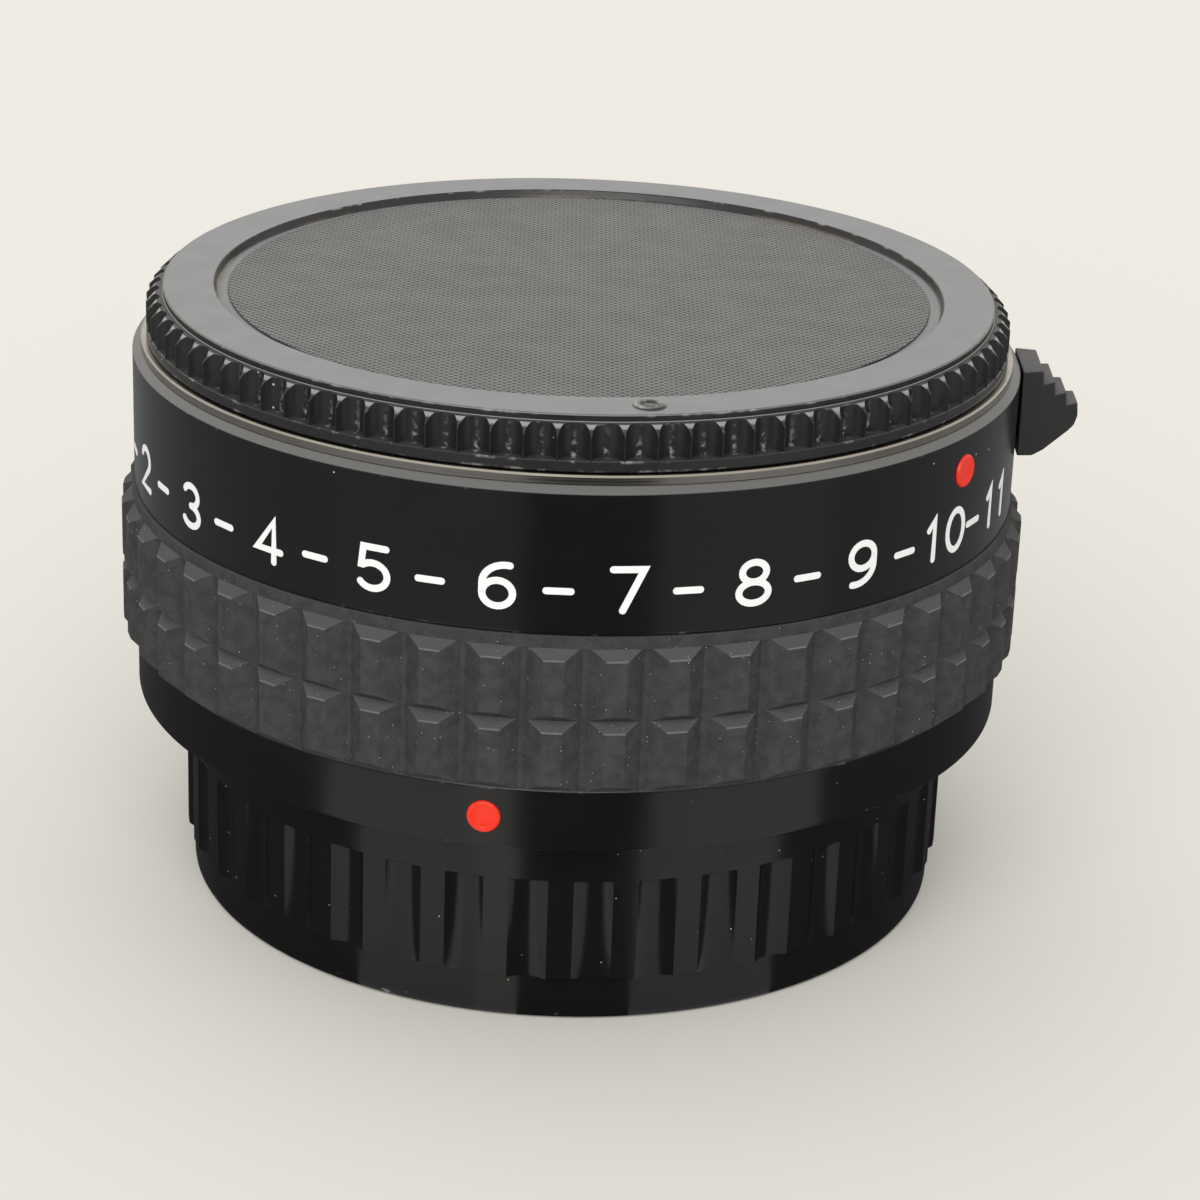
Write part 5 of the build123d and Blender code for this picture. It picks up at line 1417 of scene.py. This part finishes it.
@dataclass(frozen=True)
class NumberScale:
    """Plain numbers and dashes in white paint around the upper ring."""

    radius: float = 32.0
    base_level: float = 32.15
    height: float = 2.85
    width: float = 2.15
    gap: float = 0.7
    stroke: float = 0.24
    thickness: float = 0.02
    stroke_step: float = 0.004
    sunk: float = 0.01
    first_angle: float = -174.0
    pitch: float = 7.6
    count: int = 21

    def arc(self, x: float, y: float, wide: float, tall: float, start: float, end: float
            ) -> list[Pair]:
        """Gives points along part of an ellipse, in shares of a digit's width and height.

        Args:
            x: the ellipse's middle, across.
            y: its middle, upwards.
            wide: half its width.
            tall: half its height.
            start: the angle where the part begins.
            end: the angle where it ends.

        Returns:
            The points in order.
        """
        steps = 24
        angles = [radians(start + (end - start) * step / steps) for step in range(steps + 1)]
        return [(x + wide * cos(a), y + tall * sin(a)) for a in angles]

    def digit(self, value: int) -> list[list[Pair]]:
        """Gives the strokes of a digit, in shares of its width and height.

        Args:
            value: the digit.

        Returns:
            A list of lines.
        """
        arc = self.arc
        strokes = {
            0: [arc(0.5, 0.5, 0.5, 0.5, 90, 450)],
            1: [[(0.25, 0.78), (0.55, 1.0), (0.55, 0.0)]],
            2: [arc(0.5, 0.7, 0.47, 0.3, 160, -30) + [(0.02, 0.0), (1.0, 0.0)]],
            3: [arc(0.48, 0.75, 0.42, 0.25, 150, -90), arc(0.48, 0.25, 0.48, 0.25, 90, -150)],
            4: [[(1.0, 0.28), (0.0, 0.28), (0.72, 1.0), (0.72, 0.0)]],
            5: [[(0.92, 1.0), (0.15, 1.0), (0.08, 0.55)] + arc(0.46, 0.31, 0.5, 0.31, 130, -145)],
            6: [arc(0.75, 0.55, 0.72, 0.45, 80, 180) + arc(0.5, 0.31, 0.47, 0.31, 180, 540)],
            7: [[(0.03, 1.0), (0.97, 1.0), (0.35, 0.0)]],
            8: [arc(0.5, 0.76, 0.4, 0.24, -90, 270), arc(0.5, 0.26, 0.49, 0.26, 90, 450)],
            9: [arc(0.25, 0.45, 0.72, 0.45, -100, 0) + arc(0.5, 0.69, 0.47, 0.31, 0, 360)],
        }
        return strokes[value]

    def build(self) -> None:
        """Builds all numbers and the dashes between them as one layer of paint."""
        shape = Shape()
        for place in range(self.count):
            angle = self.first_angle + self.pitch * place
            if place % 2:
                self.write(shape, [[(0.0, 0.45), (0.75, 0.45)]], angle, 0.0)
                continue
            digits = [int(letter) for letter in str(place // 2 + 1)]
            span = len(digits) * self.width + (len(digits) - 1) * self.gap
            for position, value in enumerate(digits):
                shift = position * (self.width + self.gap) - (span - self.width) / 2
                self.write(shape, self.digit(value), angle, shift)
        paint = shape.piece("barrel_numbers", MARK_WHITE, Body.CONVERTER, Facing.SOFT)

    def write(self, shape: Shape, strokes: list[list[Pair]], angle: float, shift: float
              ) -> None:
        """Adds the strokes of a sign.

        Args:
            shape: what they are added to.
            strokes: lines in shares of the sign's width and height.
            angle: the angle of the sign's middle.
            shift: how far to the right of it the sign lies, along the barrel.
        """
        for number, stroke in enumerate(strokes):
            line = [Vector(((x - 0.5) * self.width + shift, y * self.height)) for x, y in stroke]
            self.ribbon(shape, line, angle, self.thickness + self.stroke_step * number)

    def ribbon(self, shape: Shape, line: list[Vector], angle: float, lift: float) -> None:
        """Adds a line of paint with round ends.

        Args:
            shape: what it is added to.
            line: its points, along the barrel and up.
            angle: the angle that they are counted from.
            lift: how thick the paint is.
        """
        left: list[Vector] = []
        right: list[Vector] = []
        for index, spot in enumerate(line):
            before = line[max(index - 1, 0)]
            after = line[min(index + 1, len(line) - 1)]
            back = (spot - before).normalized() if index else (after - spot).normalized()
            on = (after - spot).normalized() if index < len(line) - 1 else back
            along = (back + on).normalized()
            side = Vector((-along.y, along.x)) * self.stroke / max(along.dot(on), 0.5)
            left.append(spot + side)
            right.append(spot - side)
        start, end = line[0] - line[1], line[-1] - line[-2]
        ends = (self.cap(line[-1], end), self.cap(line[0], start))
        for a, b, c, d in zip(left, left[1:], right, right[1:]):
            shape.face(self.bend(spot, angle, lift) for spot in (a, b, d, c))
        shape.face(self.bend(spot, angle, lift) for spot in (left[-1], *ends[0], right[-1]))
        shape.face(self.bend(spot, angle, lift) for spot in (right[0], *ends[1], left[0]))
        rim = [*left, *ends[0], *right[::-1], *ends[1]]
        for here, there in zip(rim, rim[1:] + rim[:1]):
            edge = ((here, lift), (there, lift), (there, -self.sunk), (here, -self.sunk))
            shape.face(self.bend(spot, angle, height) for spot, height in edge)

    def cap(self, spot: Vector, way: Vector) -> list[Vector]:
        """Gives the points of a round end, between the two sides of the line.

        Args:
            spot: the end of the line.
            way: the way in which the line leaves there.

        Returns:
            The points in order, from the left side to the right one.
        """
        steps = 8
        heading = atan2(way.y, way.x)
        angles = [heading + pi / 2 - pi * step / steps for step in range(1, steps)]
        return [spot + Vector((cos(a), sin(a))) * self.stroke for a in angles]

    def bend(self, spot: Vector, angle: float, lift: float) -> Point:
        """Lays a point of the flat drawing on the barrel.

        Args:
            spot: the point, along the barrel and up.
            angle: the angle that it is counted from.
            lift: how far it stands off the barrel.

        Returns:
            The point in space.
        """
        turned = angle + degrees(spot.x / self.radius)
        return polar(self.radius + lift, turned, self.base_level + spot.y)


@dataclass(frozen=True)
class Grip:
    """The rubber sleeve: two rows of ribs, each a roof with hipped ends."""

    bore: float = 30.5
    outside: float = 32.95
    border: float = 32.2
    valley: float = 32.05
    valley_half: float = 0.3
    bottom: float = 19.35
    rows: tuple[float, float, float] = (19.4, 24.4, 29.5)
    top: float = 30.3
    hip: float = 0.6
    # the band along the hip's lower edge that is marked pale: wear and a painted highlight
    worn: float = 0.07
    count: int = 50
    start: float = -91.1
    ridge_share: float = 1 / 3

    def build(self) -> None:
        """Builds the sleeve as one closed surface."""
        shape = Shape()
        half = 180 / self.count
        flat = half * self.ridge_share
        foot = half - self.valley_half
        slope = flat + (foot - flat) * (self.outside - self.border) / (self.outside - self.valley)
        for rib in range(self.count):
            middle = self.start + 360 * rib / self.count
            for low, high in zip(self.rows, self.rows[1:]):
                self.rib(shape, middle, (flat, slope, foot, half), low, high)
            self.borders(shape, middle, (slope, foot, half))
        sleeve = shape.piece("rubber_grip_sleeve", GRIP_RUBBER, Body.CONVERTER, Facing.CUT)
        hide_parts("rubber_grip")

    def rib(self, shape: Shape, middle: float, spread: tuple[float, float, float, float],
            low: float, high: float) -> None:
        """Adds one rib, with edge marks along the lower edge of its upper hip, pale with wear and a
        painted highlight.

        Args:
            shape: what it is added to.
            middle: the angle of its ridge.
            spread: half widths, as angles, of the ridge, the hips, the rib and the pitch.
            low: the level of its lower end.
            high: the level of its upper end.
        """
        flat, slope, foot, half = spread
        ends = (low + self.hip, high - self.hip)
        below = ends[1] - self.worn
        share = self.worn / self.hip
        across = flat + (slope - flat) * share
        inner = self.outside + (self.border - self.outside) * share
        above = ends[1] + self.worn
        lines = [
            (self.border, slope, high, 0.0),
            (inner, across, above, 0.0),
            (self.outside, flat, ends[1], 1.0),
            (self.outside, flat, below, 0.0),
            (self.outside, flat, ends[0], 0.0),
            (self.border, slope, low, 0.0),
        ]
        for here, there in zip(lines, lines[1:]):
            shape.patch(
                (
                    (here[0], middle - here[1], here[2]),
                    (here[0], middle + here[1], here[2]),
                    (there[0], middle + there[1], there[2]),
                    (there[0], middle - there[1], there[2]),
                ),
                (here[3], here[3], there[3], there[3]),
            )
        for side in (-1, 1):
            inner_line, outer_line = middle + side * foot, middle + side * half
            shape.patch(
                (
                    *((line[0], middle + side * line[1], line[2]) for line in lines),
                    (self.valley, inner_line, low),
                    (self.valley, inner_line, high),
                ),
                (*(line[3] for line in lines), 0.0, 0.0),
            )
            self.strip(shape, inner_line, outer_line, (self.valley, high), (self.valley, low))

    def borders(self, shape: Shape, middle: float, spread: tuple[float, float, float]) -> None:
        """Adds what lies above and below one rib: ledges, plain borders, faces and bore.

        Args:
            shape: what they are added to.
            middle: the angle of the rib's ridge.
            spread: half widths, as angles, of the hips, the rib and the pitch.
        """
        slope, foot, half = spread
        low, high = self.rows[0], self.rows[-1]
        columns = [middle + share for share in (-half, -foot, -slope, slope, foot, half)]
        for level, end in ((low, self.bottom), (high, self.top)):
            for side in (-1, 1):
                inner_line, outer_line = middle + side * foot, middle + side * half
                shape.patch(
                    (
                        (self.border, middle + side * slope, level),
                        (self.border, inner_line, level),
                        (self.valley, inner_line, level),
                    )
                )
                edges = ((self.border, level), (self.valley, level))
                self.strip(shape, inner_line, outer_line, *edges)
            for here, there in zip(columns, columns[1:]):
                self.strip(shape, here, there, (self.border, level), (self.border, end))
                self.strip(shape, here, there, (self.border, end), (self.bore, end))
        for here, there in zip(columns, columns[1:]):
            self.strip(shape, here, there, (self.bore, self.bottom), (self.bore, self.top))

    def strip(self, shape: Shape, here: float, there: float, first: Pair, last: Pair) -> None:
        """Adds a face between two angles.

        Args:
            shape: what it is added to.
            here: the first angle.
            there: the second angle.
            first: radius and level of its one edge.
            last: radius and level of its other edge.
        """
        corners = ((first, here), (first, there), (last, there), (last, here))
        shape.patch((edge[0], angle, edge[1]) for edge, angle in corners)


@dataclass(frozen=True)
class RearCap:
    """The deep cap that the object stands on: flutes between flat panels, tabs in its throat."""

    height: float = 14.4
    radius: float = 28.4
    base_radius: float = 27.9
    base_band: float = 3.3
    flute_top: float = 10.8
    floor: float = 1.8
    bore: float = 25.6
    throat: float = 24.05
    chamber: float = 11.0
    chamber_slope: float = 1.4
    tab_inside: float = 22.3
    tab_thickness: float = 1.3
    gap_angles: tuple[float, float, float] = (81.0, 201.0, 321.0)
    gap_widths: tuple[float, float, float] = (57.0, 53.0, 53.0)
    flute_count: int = 40
    flute_depth: float = 0.5
    flute_cutter: float = 2.2
    flute_start: float = 86.1
    panel_shares: tuple[float, float, float] = (0.08, 0.5, 0.92)

    def outline(self, wall: float) -> list[Corner]:
        """Gives the outline at one angle.

        Args:
            wall: how far out the fluted band reaches there.

        Returns:
            Radius, level and edge mark of each point.
        """
        lower = min(wall, self.radius)
        cut = 0.06 if wall < self.radius else 0.0
        outside = rounded(
            [
                (0.0, 0.0, 0.0),
                (self.base_radius, 0.0, 0.6),
                (self.base_radius, self.base_band - 0.02, 0.0),
            ],
            4,
        )
        rim = rounded(
            [
                (self.radius, self.flute_top + cut, 0.0),
                (self.radius, self.height, 0.2),
                (self.throat, self.height, 0.0),
            ]
        )
        return [
            *outside,
            (min(lower, self.radius - 0.05), self.base_band, 0.0),
            (lower, self.base_band + 0.05, 0.0),
            (lower, self.base_band + 0.2, 0.0),
            (lower, self.flute_top - 0.15, 0.0),
            (lower, self.flute_top - 0.03, 0.0),
            (max(lower, self.radius - cut), self.flute_top, 0.0),
            *rim,
            (self.throat, self.chamber, 0.0),
            (self.bore, self.chamber - self.chamber_slope, 0.0),
            (self.bore, self.floor, 0.0),
            (0.0, self.floor, 0.0),
        ]

    def build(self) -> None:
        """Builds the fluted cap and the tabs that hold the converter's lugs."""
        fluting = Fluting(
            self.radius,
            self.flute_count,
            self.flute_depth,
            self.flute_cutter,
            self.flute_start,
            steps=14,
        )
        columns = self.with_panels(fluting)
        shape = Shape()
        shape.columns([angle for angle, _ in columns], [self.outline(wall) for _, wall in columns])
        cap = shape.piece("rear_cap_shell", CAP_GLOSS, Body.REAR_CAP, Facing.CUT)
        keep_flats(cap)
        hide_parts("rear_cap")
        self.build_tabs()

    def with_panels(self, fluting: Fluting) -> list[Pair]:
        """Adds three columns to the flat panel between each flute and the next.

        Args:
            fluting: the flutes.

        Returns:
            The angle and the wall's radius of each column.
        """
        flutes = fluting.columns()
        size = fluting.steps + 1
        found = []
        for index in range(0, len(flutes), size):
            flute = flutes[index : index + size]
            found += flute
            start = flute[-1][0]
            width = 360 / fluting.count - (flute[-1][0] - flute[0][0])
            found += [(start + width * share, self.radius) for share in self.panel_shares]
        return found

    def build_tabs(self) -> None:
        """Builds the three tabs between the gaps of the throat."""
        base = self.height - self.tab_thickness
        top = self.height - 0.005
        root = self.throat + 0.02
        loop = [
            (self.tab_inside, base, 0.0),
            (root, base, 0.0),
            (root, top, 0.0),
            (self.tab_inside, top, 0.0),
        ]
        shape = Shape()
        count = len(self.gap_angles)
        for index in range(count):
            after = (index + 1) % count
            start = self.gap_angles[index] + self.gap_widths[index] / 2
            end = self.gap_angles[after] - self.gap_widths[after] / 2
            shape.sector(loop, start, (end - start) % 360)
        tabs = shape.piece("rear_cap_tabs", CAP_GLOSS, Body.REAR_CAP)


@dataclass(frozen=True)
class ReleaseLever:
    """The stepped thumb lever with its strip, its tongue and the serrations on its top."""

    inner: float = 32.08
    top: float = 40.2
    bottom: float = 33.8
    strip: float = 32.85
    half_width: float = 2.9
    tip_half: float = 1.35
    tip: float = 36.45
    first_tread: float = 1.5
    teeth: int = 3
    tread: float = 0.93
    drop: float = 0.88
    hook: float = 0.14
    tongue_inside: float = 28.6
    tongue_half: float = 1.4
    tongue_levels: Pair = (35.9, 38.6)
    undercut: float = 0.1
    belly: tuple[Pair, ...] = ((0.1, -1.05), (-0.12, -1.75), (-0.55, -2.15))
    foot: tuple[Pair, ...] = ((1.9, 0.32), (1.1, 0.0), (0.0, 0.0))

    def side(self) -> list[Pair]:
        """Gives the outline seen from the side.

        Returns:
            Radius and level of each corner.
        """
        line = [(self.inner, self.top), (self.inner + self.first_tread, self.top)]
        for tooth in range(self.teeth):
            radius = self.inner + self.first_tread + tooth * self.tread
            level = self.top - tooth * self.drop
            line.append((radius + self.undercut, level - self.drop - self.hook))
            line.append((radius + self.tread, level - self.drop))
        end = self.inner + self.first_tread + self.teeth * self.tread
        level = self.top - self.teeth * self.drop
        line += [(end + out, level + rise) for out, rise in self.belly]
        line += [(self.inner + out, self.bottom + rise) for out, rise in self.foot]
        return line

    def half(self, radius: float) -> float:
        """Gives half the lever's width at a radius: it narrows towards the tip."""
        share = max(0.0, (radius - self.strip) / (self.tip - self.strip))
        return self.half_width + (self.tip_half - self.half_width) * share

    def build(self) -> None:
        """Builds the lever as one closed surface, and its tongue."""
        shape = Shape()
        line = self.side()
        near = [(radius, -self.half(radius), level) for radius, level in line]
        far = [(radius, self.half(radius), level) for radius, level in line]
        shape.face(near)
        shape.face(far)
        for index in range(len(line)):
            after = (index + 1) % len(line)
            shape.face((near[index], near[after], far[after], far[index]))
        lever = shape.piece("release_lever_thumbpiece", LEVER_PAINT, Body.RELEASE, Facing.SOFT)
        ease_edges(lever, 0.1, 18.0)
        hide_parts("release_lever")
        self.build_tongue()

    def build_tongue(self) -> None:
        """Builds the tongue that goes through the barrel to the slider."""
        shape = Shape()
        shape.box((self.tongue_inside, self.inner + 0.1), self.tongue_half, self.tongue_levels)
        tongue = shape.piece("release_lever_tongue", LEVER_PAINT, Body.RELEASE)
        ease_edges(tongue, 0.08, 20.0)


@dataclass(frozen=True)
class Springs:
    """The springs under the lock and under the contact pins."""

    coil_place: float = 27.8
    coil_base: float = 28.26
    coil_top: float = 33.44
    coil_radius: float = 1.3
    coil_wire: float = 0.4
    coil_turns: int = 4
    turn_steps: int = 24
    leaf_angles: tuple[float, ...] = (62.5, 69.5, 76.5, 83.5, 90.5, 97.5)
    leaf_width: float = 2.7
    leaf_bend: float = 25.09
    leaf_tip: float = 26.16
    leaf_base: float = 36.26
    leaf_top: float = 37.31
    leaf_thickness: float = 0.15

    def build(self) -> None:
        """Builds the coil and the row of leaves."""
        self.build_coil()
        self.build_leaves()

    def build_coil(self) -> None:
        """Builds the coil of square wire that lifts the lock."""
        shape = Shape()
        half = self.coil_wire / 2
        rise = self.coil_top - self.coil_base - self.coil_wire
        steps = self.coil_turns * self.turn_steps
        corners = ((-half, -half), (half, -half), (half, half), (-half, half))
        rings = []
        for step in range(steps + 1):
            angle = 360 * self.coil_turns * step / steps
            level = self.coil_base + half + rise * step / steps
            ring = []
            for side, lift in corners:
                x, y, z = polar(self.coil_radius + side, angle, level + lift)
                ring.append((self.coil_place + x, y, z))
            rings.append(ring)
        for here, there in zip(rings, rings[1:]):
            for corner in range(len(corners)):
                after = (corner + 1) % len(corners)
                shape.face((here[corner], here[after], there[after], there[corner]))
        shape.face(rings[0])
        shape.face(rings[-1])
        coil = self.hold(shape, "release_coil", SPRING_STEEL, Body.RELEASE)
        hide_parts("release_spring")

    def build_leaves(self) -> None:
        """Builds one folded leaf under each contact pin."""
        shape = Shape()
        thick = self.leaf_thickness
        loop = [
            (self.leaf_bend, self.leaf_base, 0.0),
            (self.leaf_tip, self.leaf_base, 0.0),
            (self.leaf_tip, self.leaf_base + thick, 0.0),
            (self.leaf_bend + 2 * thick, self.leaf_base + thick, 0.0),
            (self.leaf_tip, self.leaf_top - thick, 0.0),
            (self.leaf_tip, self.leaf_top, 0.0),
            (self.leaf_bend, self.leaf_base + thick, 0.0),
        ]
        for angle in self.leaf_angles:
            shape.sector(loop, angle - self.leaf_width / 2, self.leaf_width, 3)
        leaves = self.hold(shape, "contact_leaves", CONTACT_GOLD, Body.CONTACT_PINS)
        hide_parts("contact_springs")

    def hold(self, shape: Shape, name: str, finish: Finish, mover: Body
             ) -> bpy.types.Object:
        """Makes a spring as an object of its own, with its finish.

        Args:
            shape: the spring.
            name: the piece's name.
            finish: its finish.
            mover: not used.

        Returns:
            The spring.
        """
        made = shape.mesh(name, Facing.CUT)
        made.materials.append(finish.material())
        item = add_object(name, made)
        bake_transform(item)
        log.info("%s: %d faces", name, len(made.polygons))
        return item


def dress_frame_nodes() -> None:
    """Gives every node that stays visible the finish of its material slot."""
    slots = {row["node"]: row["material_slot"] for row in frame["record"]["subparts"]}
    for name, item in frame["nodes"].items():
        if item.hide_render:
            continue
        finish = SLOT_FINISHES[slots[name]]
        item.data.materials.clear()
        item.data.materials.append(finish.material())
        log.info("%s: %s", name, finish.name)


# Stage


@dataclass(frozen=True)
class Viewpoint:
    """The camera of the photograph, worked out from the ellipses of the object's rims."""

    position: Point = (1.520, -234.024, 112.941)
    pitch: float = 21.606
    yaw: float = -0.194
    roll: float = -2.131
    focal_pixels: float = 3368.89
    frame_pixels: float = 1200.0
    sensor: float = 36.0

    def build(self) -> None:
        """Adds the camera and makes it the scene's."""
        turn = Matrix.Rotation(radians(self.yaw), 3, "Z")
        ahead = turn @ Vector((0, 1, 0))
        right = turn @ Vector((1, 0, 0))
        tilt = Matrix.Rotation(radians(-self.pitch), 3, right)
        ahead, up = tilt @ ahead, tilt @ Vector((0, 0, 1))
        spin = Matrix.Rotation(radians(self.roll), 3, ahead)
        right, up = spin @ right, spin @ up
        axes = Matrix((right, up, -ahead)).transposed().to_4x4()
        data = bpy.data.cameras.new("camera")
        data.sensor_width = self.sensor
        data.sensor_fit = "HORIZONTAL"
        data.lens = self.sensor * self.focal_pixels / self.frame_pixels
        data.clip_start = MM
        item = add_object("camera", data)
        item.matrix_world = Matrix.Translation(Vector(self.position) * MM) @ axes
        bpy.context.scene.camera = item


@dataclass(frozen=True)
class ReflectionCard:
    """A card on the floor that only shows in the gloss of the object: a painted reflection, dark or
    pale, which lights and shades nothing.

    Each side edge starts at a foot on the object's base and runs straight out in its own way,
    so that its reflection stands upright on the object's round walls.
    """

    name: str
    feet: Pair
    ways: Pair
    reach: Pair
    color: Color
    base_radius: float = 27.0
    level: float = 0.05
    steps: int = 24

    def build(self) -> None:
        """Adds the card, seen by glossy rays alone."""
        shape = Shape()
        rows = [self.row(step / self.steps) for step in range(self.steps + 1)]
        for here, there in zip(rows, rows[1:]):
            shape.face((here[0], there[0], there[1], here[1]))
        mesh = shape.mesh(self.name, Facing.TURNED)
        mesh.materials.append(Finish(self.name, self.color, 0.9, specular=0.0).material())
        item = add_object(self.name, mesh)
        for ray in ("camera", "diffuse", "shadow", "transmission"):
            setattr(item, f"visible_{ray}", False)

    def row(self, share: float) -> tuple[Point, Point]:
        """Gives the card's two ends on one line outwards.

        Args:
            share: how far the line is from the first edge, 1 at the second.

        Returns:
            The near point and the far point.
        """
        foot = self.feet[0] + (self.feet[1] - self.feet[0]) * share
        way = self.ways[0] + (self.ways[1] - self.ways[0]) * share
        start = Vector(polar(self.base_radius, foot, self.level))
        near, far = (start + Vector(polar(reach, way, 0.0)) for reach in self.reach)
        return tuple(near), tuple(far)


@dataclass(frozen=True)
class SoftSun:
    """A lamp so wide that its shadows are soft."""

    name: str
    azimuth: float
    height: float
    energy: float
    spread: float = 60.0

    def build(self) -> None:
        """Adds the lamp."""
        data = bpy.data.lights.new(self.name, "SUN")
        data.energy = self.energy
        data.angle = radians(self.spread)
        out = Vector(polar(cos(radians(self.height)), self.azimuth, sin(radians(self.height))))
        add_object(self.name, data).rotation_euler = out.to_track_quat("Z", "Y").to_euler()


@dataclass(frozen=True)
class Studio:
    """A pale floor under an even sky, with two soft lamps, and cards that paint reflections in the
    object's gloss.
    """

    floor_color: Color = (0.905, 0.871, 0.799)
    sky_color: Color = (0.905, 0.871, 0.799)
    light_color: Color = (1.0, 1.0, 1.0)
    sky_strength: float = 0.62
    floor_radius: float = 3000.0
    floor_level: float = -0.02
    lamps: tuple[SoftSun, ...] = (
        SoftSun("back_lamp", 110.0, 50.0, 0.3),
        SoftSun("front_lamp", -98.0, 32.0, 1.6),
    )
    # painted reflections: dark cards stand for shade in the gloss, pale ones for bright patches of
    # floor
    reflection_cards: tuple[ReflectionCard, ...] = (
        ReflectionCard("front_flag", (-95.0, -79.5), (-101.0, -68.0), (0.0, 700.0), (0.05, 0.05, 0.05)),
        ReflectionCard("near_left_flag", (-118.5, -101.0), (-151.0, -113.0), (0.0, 60.0), (0.68, 0.68, 0.7)),
        ReflectionCard("near_right_flag", (-79.5, -58.0), (-68.0, -22.5), (0.0, 60.0), (0.7, 0.7, 0.72)),
        ReflectionCard("left_flag", (-118.5, -95.0), (-151.0, -101.0), (60.0, 700.0), (0.3, 0.3, 0.3)),
        ReflectionCard("right_flag", (-79.5, -58.0), (-68.0, -22.5), (60.0, 700.0), (0.36, 0.36, 0.36)),
        ReflectionCard("near_rear_flag", (-58.0, 241.5), (-22.5, 209.0), (0.0, 50.0), (0.08, 0.08, 0.08)),
        ReflectionCard("far_rear_flag", (-58.0, 241.5), (-22.5, 209.0), (50.0, 700.0), (0.25, 0.25, 0.25)),
    )

    def build(self) -> None:
        """Builds floor, sky, lamps and cards."""
        self.build_floor()
        self.build_sky()
        for item in (*self.lamps, *self.reflection_cards):
            item.build()
        bpy.context.scene.view_settings.view_transform = "Standard"

    def build_floor(self) -> None:
        """Adds the floor."""
        mesh = bpy.data.meshes.new("floor")
        disc = bmesh.new()
        bmesh.ops.create_circle(disc, cap_ends=True, segments=96, radius=self.floor_radius * MM)
        disc.to_mesh(mesh)
        disc.free()
        item = add_object("floor", mesh)
        item.location.z = self.floor_level * MM
        mesh.materials.append(Finish("floor_paper", self.floor_color, 0.9, specular=0.0).material())

    def build_sky(self) -> None:
        """Sets the world: plain cream for the camera and for gloss, white and softer as a light."""
        world = bpy.data.worlds.new("studio")
        world.use_nodes = True
        world.node_tree.nodes.clear()
        graph = Graph(world.node_tree)
        background = graph.node("ShaderNodeBackground")
        output = graph.node("ShaderNodeOutputWorld")
        graph.feed(output.inputs[0], background.outputs[0])
        path = graph.node("ShaderNodeLightPath").outputs
        seen = graph.math("MAXIMUM", path["Is Camera Ray"], path["Is Glossy Ray"])
        seen = graph.math("MAXIMUM", seen, path["Is Transmission Ray"])
        graph.feed(background.inputs["Color"], graph.blend(seen, self.light_color, self.sky_color))
        strength = graph.ramp(seen, 0.0, 1.0, self.sky_strength, 1.0)
        graph.feed(background.inputs["Strength"], strength)
        bpy.context.scene.world = world


def main() -> None:
    """Builds everything in order."""
    logging.basicConfig(level=logging.INFO, format="%(name)s: %(message)s")
    kinds = (FrontCap, Barrel, NumberScale, Grip, RearCap, ReleaseLever, Springs)
    for part in (kind() for kind in kinds):
        log.info("building %s", type(part).__name__)
        part.build()
    dress_frame_nodes()
    Viewpoint().build()
    Studio().build()


if __name__ == "__main__":
    main()
